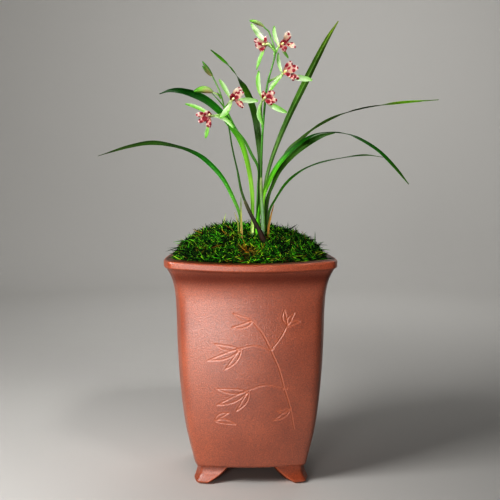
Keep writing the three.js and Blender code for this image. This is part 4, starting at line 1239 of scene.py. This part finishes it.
bloomShape = {
    "sepalColours": [(0, "#9ab46f"), (0.15, "#81a956"), (0.5, "#689c40"), (0.85, "#5c9331"), (1, "#4b8623")],
    "paleColours": [(0, "#b8c7a7"), (0.5, "#b8cba7"), (0.85, "#a8c490"), (1, "#7aac4d")],
    "sepalThickness": 0.5,
    "lobeColours": [(0, "#72403d"), (0.15, "#946d63"), (0.4, "#aa917a"), (0.7, "#b9aa99"), (1, "#c4b0ac")],
    "flush": "#a0485a",
    "lobeThickness": 0.45,
    "ruffle": 0.9,
    "cup": 0.8,
    "ovaryColour": "#b4c884",
    "ovaryRadius": 1.7,
    "columnColours": [(0, "#bec98c"), (0.7, "#c9c47b"), (1, "#d2d4aa")],
    "columnRadius": 1.35,
}


def lipMaterial():
    # the lip's living skin: cream to white, with crimson spots of a few millimetres whose edges run a little
    # along its cells, and a fine sparkle of those cells
    material, tree = startMaterial("blotchedLip")
    ragged = noise(tree, placeOf(tree), 700, Detail=2, Distortion=0.5)
    edge = addNode(tree, "Math", {"operation": "MULTIPLY_ADD"}, {
        0: ragged, 1: 0.6, 2: readAttribute(tree, "tint", "Alpha"),
    })
    crimson = mixColours(tree, ragged, "#640e1a", "#861e30")
    spots = remap(tree, edge.outputs[0], 0.76, 0.86)
    return finishMaterial(material, {
        "Base Color": mixColours(tree, spots, readAttribute(tree, "tint", "Color"), crimson),
        "Roughness": 0.5, "IOR": 1.4, "Specular IOR Level": 0.3,
        "Subsurface Weight": 0.12, "Subsurface Radius": (0.001, 0.0006, 0.0004),
        "Normal": bump(tree, ragged, 0.2, 0.4),
    })


def sepalShell(centre, front, number, foot, tip, bow, halfWidth, white):
    # A strap: its half width follows sin(pi (0.1 + 0.84 t^1.25))^0.8, its middle bows to the side and back,
    # and it twists a little from base to tip. One edge is paler than the other.
    t = np.linspace(0, 1, 40)
    foot, tip = centre + foot, centre + tip
    along = unit(tip - foot)
    left = unit(np.cross([0, -1.0, 0], along))
    line = bendLine(foot - front * 0.4, (foot + tip) / 2 - front * 1.5 + left * 2 * bow, tip, len(t))
    facing = unit(front * 0.25 + [-0.2, -1.0, 0.25])
    turn = 0.25 * np.sin(1.7 * number) * t[:, None]
    facing = facing * np.cos(turn) + np.cross(along, facing) * np.sin(turn)
    halfWidths = halfWidth * np.sin(np.pi * (0.1 + 0.84 * t**1.25)) ** 0.8
    across = np.cos(np.linspace(0, 2 * np.pi, 20, endpoint=False))
    green, pale = colourStops(bloomShape["sepalColours"], t), colourStops(bloomShape["paleColours"], t)
    tint = green + (pale - green) * np.clip(white + 0.45 * across, 0, 1)[:, None]
    wave = 0.25 * np.sin(9 * t[:, None] + number) * across**3
    return bladeShell(line, facing, halfWidths, 0.3, bloomShape["sepalThickness"], tint, lift=wave)


def lobeShell(centre, front, number, foot, tip, halfWidth, spots):
    # A lobe of the lip: a narrow claw, then a broad blade of half width sin(pi (0.1 + 0.78 t))^0.8. Its edges
    # ruffle by a sine that grows with the third power of the way across, and its tip curls back by t^4. A
    # spot is 1 less the distance to its middle over its radius, and the skin round it is flushed.
    t = np.linspace(0, 1, 36)
    foot, tip = centre + foot, centre + tip
    line = bendLine(foot, foot + (tip - foot) * 0.55 + front * 2.0, tip, len(t))
    line = line - front * 1.6 * t[:, None] ** 4
    halfWidths = halfWidth * np.sin(np.pi * (0.1 + 0.78 * t)) ** 0.8
    across = np.cos(np.linspace(0, 2 * np.pi, 28, endpoint=False))
    ruffle = np.sin(11 * t[:, None] + 2.1 * number + 1.6 * np.sign(across)) * np.sqrt(t[:, None])
    lift = bloomShape["ruffle"] * np.abs(across) ** 3 * ruffle - bloomShape["cup"] * across**2 * t[:, None]
    spotted = np.full((len(t), len(across)), -1.0)
    for place, way, radius in spots:
        gap = np.hypot((t[:, None] - place) * np.linalg.norm(tip - foot), (across - way) * halfWidth)
        spotted = np.maximum(spotted, 1 - gap / radius)
    tint = colourStops(bloomShape["lobeColours"], t) * np.ones((1, len(across), 1))
    flush = (0.7 * np.clip(1 + 1.2 * spotted, 0, 1) ** 1.5)[..., None]
    tint = tint + (toLinear(bloomShape["flush"]) - tint) * flush
    tint[..., 3] = np.clip(0.5 + 0.5 * spotted, 0, 1)
    facing = np.broadcast_to(unit(front + [0, -0.4, 0]), line.shape)
    thickness = bloomShape["lobeThickness"]
    return bladeShell(line, facing, halfWidths, 0.2, thickness, tint, ring=len(across), lift=lift)


def makeBlooms(fleshy):
    lip = lipMaterial()
    t = np.linspace(0, 1, 24)
    ovaryRadii = bloomShape["ovaryRadius"] * np.sin(np.pi * (0.1 + 0.8 * t)) ** 0.6
    columnRadii = bloomShape["columnRadius"] * np.sqrt(1 - 0.98 * t**8)
    for name, look in blooms.items():
        centre, front = np.array(look["centre"], float), unit(np.array(look["facing"], float))
        shells = [sepalShell(centre, front, number, *sepal) for number, sepal in enumerate(look["sepals"])]
        ovary = bendLine(centre - front * 2.2, centre, centre + front * 2.4, len(t))
        shells.append(tubeShell(ovary, ovaryRadii, toLinear(bloomShape["ovaryColour"]), flute=0.05))
        makePiece(f"{name}_straps", shells, fleshy, "sepal", f"{name}_sepals")

        shells = [lobeShell(centre, front, number, *lobe) for number, lobe in enumerate(look["lobes"])]
        hub = centre + front * 2
        column = bendLine(hub, hub + front * 3 + [0, 0, 1.2], hub + front * 4.5 + [0, 0, 0.8], len(t))
        tint = colourStops(bloomShape["columnColours"], t) * np.array([1, 1, 1, 0])  # alpha 0: no spots
        shells.append(tubeShell(column, columnRadii, tint))
        makePiece(f"{name}_lip", shells, lip, "petal", f"{name}_petals")
    print("blooms made")


# sepals and buds: crisp and translucent, with faint lengthwise veins
fleshySepal = plantSkin("fleshySepal", 0.45, 0.6, 0.1, 6, 0.08)
makeBlooms(fleshySepal)


# ---- buds ----

buds = {
    "bud_a_tip": {
        "thickness": 2.2,
        "shapes": [[(13.6, -28, 479), (6, -31, 484), (-1.2, -32, 484)]],
        "upper": [(0, "#8aaf5e"), (0.4, "#a0bc7e"), (0.85, "#78ac4c"), (1, "#529928")],
        "lower": [(0, "#9a8566"), (0.45, "#5e6034"), (0.85, "#528528"), (1, "#529928")],
    },
    "bud_b_tip": {
        "thickness": 1.9,
        "shapes": [
            [(-40.0, -32, 427.2), (-45, -33, 434), (-50.4, -34, 442)],
            [(-40.0, -32, 427.2), (-45.5, -30.5, 431), (-50.5, -29, 438)],
        ],
        "upper": [(0, "#477722"), (0.5, "#366317"), (1, "#447d22")],
        "lower": [(0, "#847255"), (0.4, "#68603c"), (0.7, "#476022"), (1, "#3c6f24")],
    },
    "bud_b_side": {
        "thickness": 3.7,
        "shapes": [[(-40, -35, 410), (-48, -35.5, 415), (-59.4, -35, 410.6)]],
        "upper": [(0, "#86a459"), (0.4, "#89ac64"), (0.75, "#5b922e"), (1, "#387713")],
        "lower": [(0, "#9a8669"), (0.35, "#8b6b4e"), (0.6, "#60712e"), (1, "#336b11")],
    },
}


def makeBuds(fleshy):
    # a spindle of radius sin(pi (0.1 + 0.86 t))^0.8 with three soft flutes where the sepals meet, one colour
    # on one side and another on the other
    t = np.linspace(0, 1, 40)
    blend = (0.5 + 0.5 * np.cos(np.linspace(0, 2 * np.pi, 20, endpoint=False)))[:, None]
    for name, look in buds.items():
        upper, lower = colourStops(look["upper"], t), colourStops(look["lower"], t)
        radii = look["thickness"] * np.sin(np.pi * (0.1 + 0.86 * t)) ** 0.8
        shells = [
            tubeShell(bendLine(*shape, len(t)), radii, lower + (upper - lower) * blend, sides=20, flute=0.07)
            for shape in look["shapes"]
        ]
        makePiece(f"{name}_spindle", shells, fleshy, "sepal", name)
    print("buds made")


makeBuds(fleshySepal)

print("done")
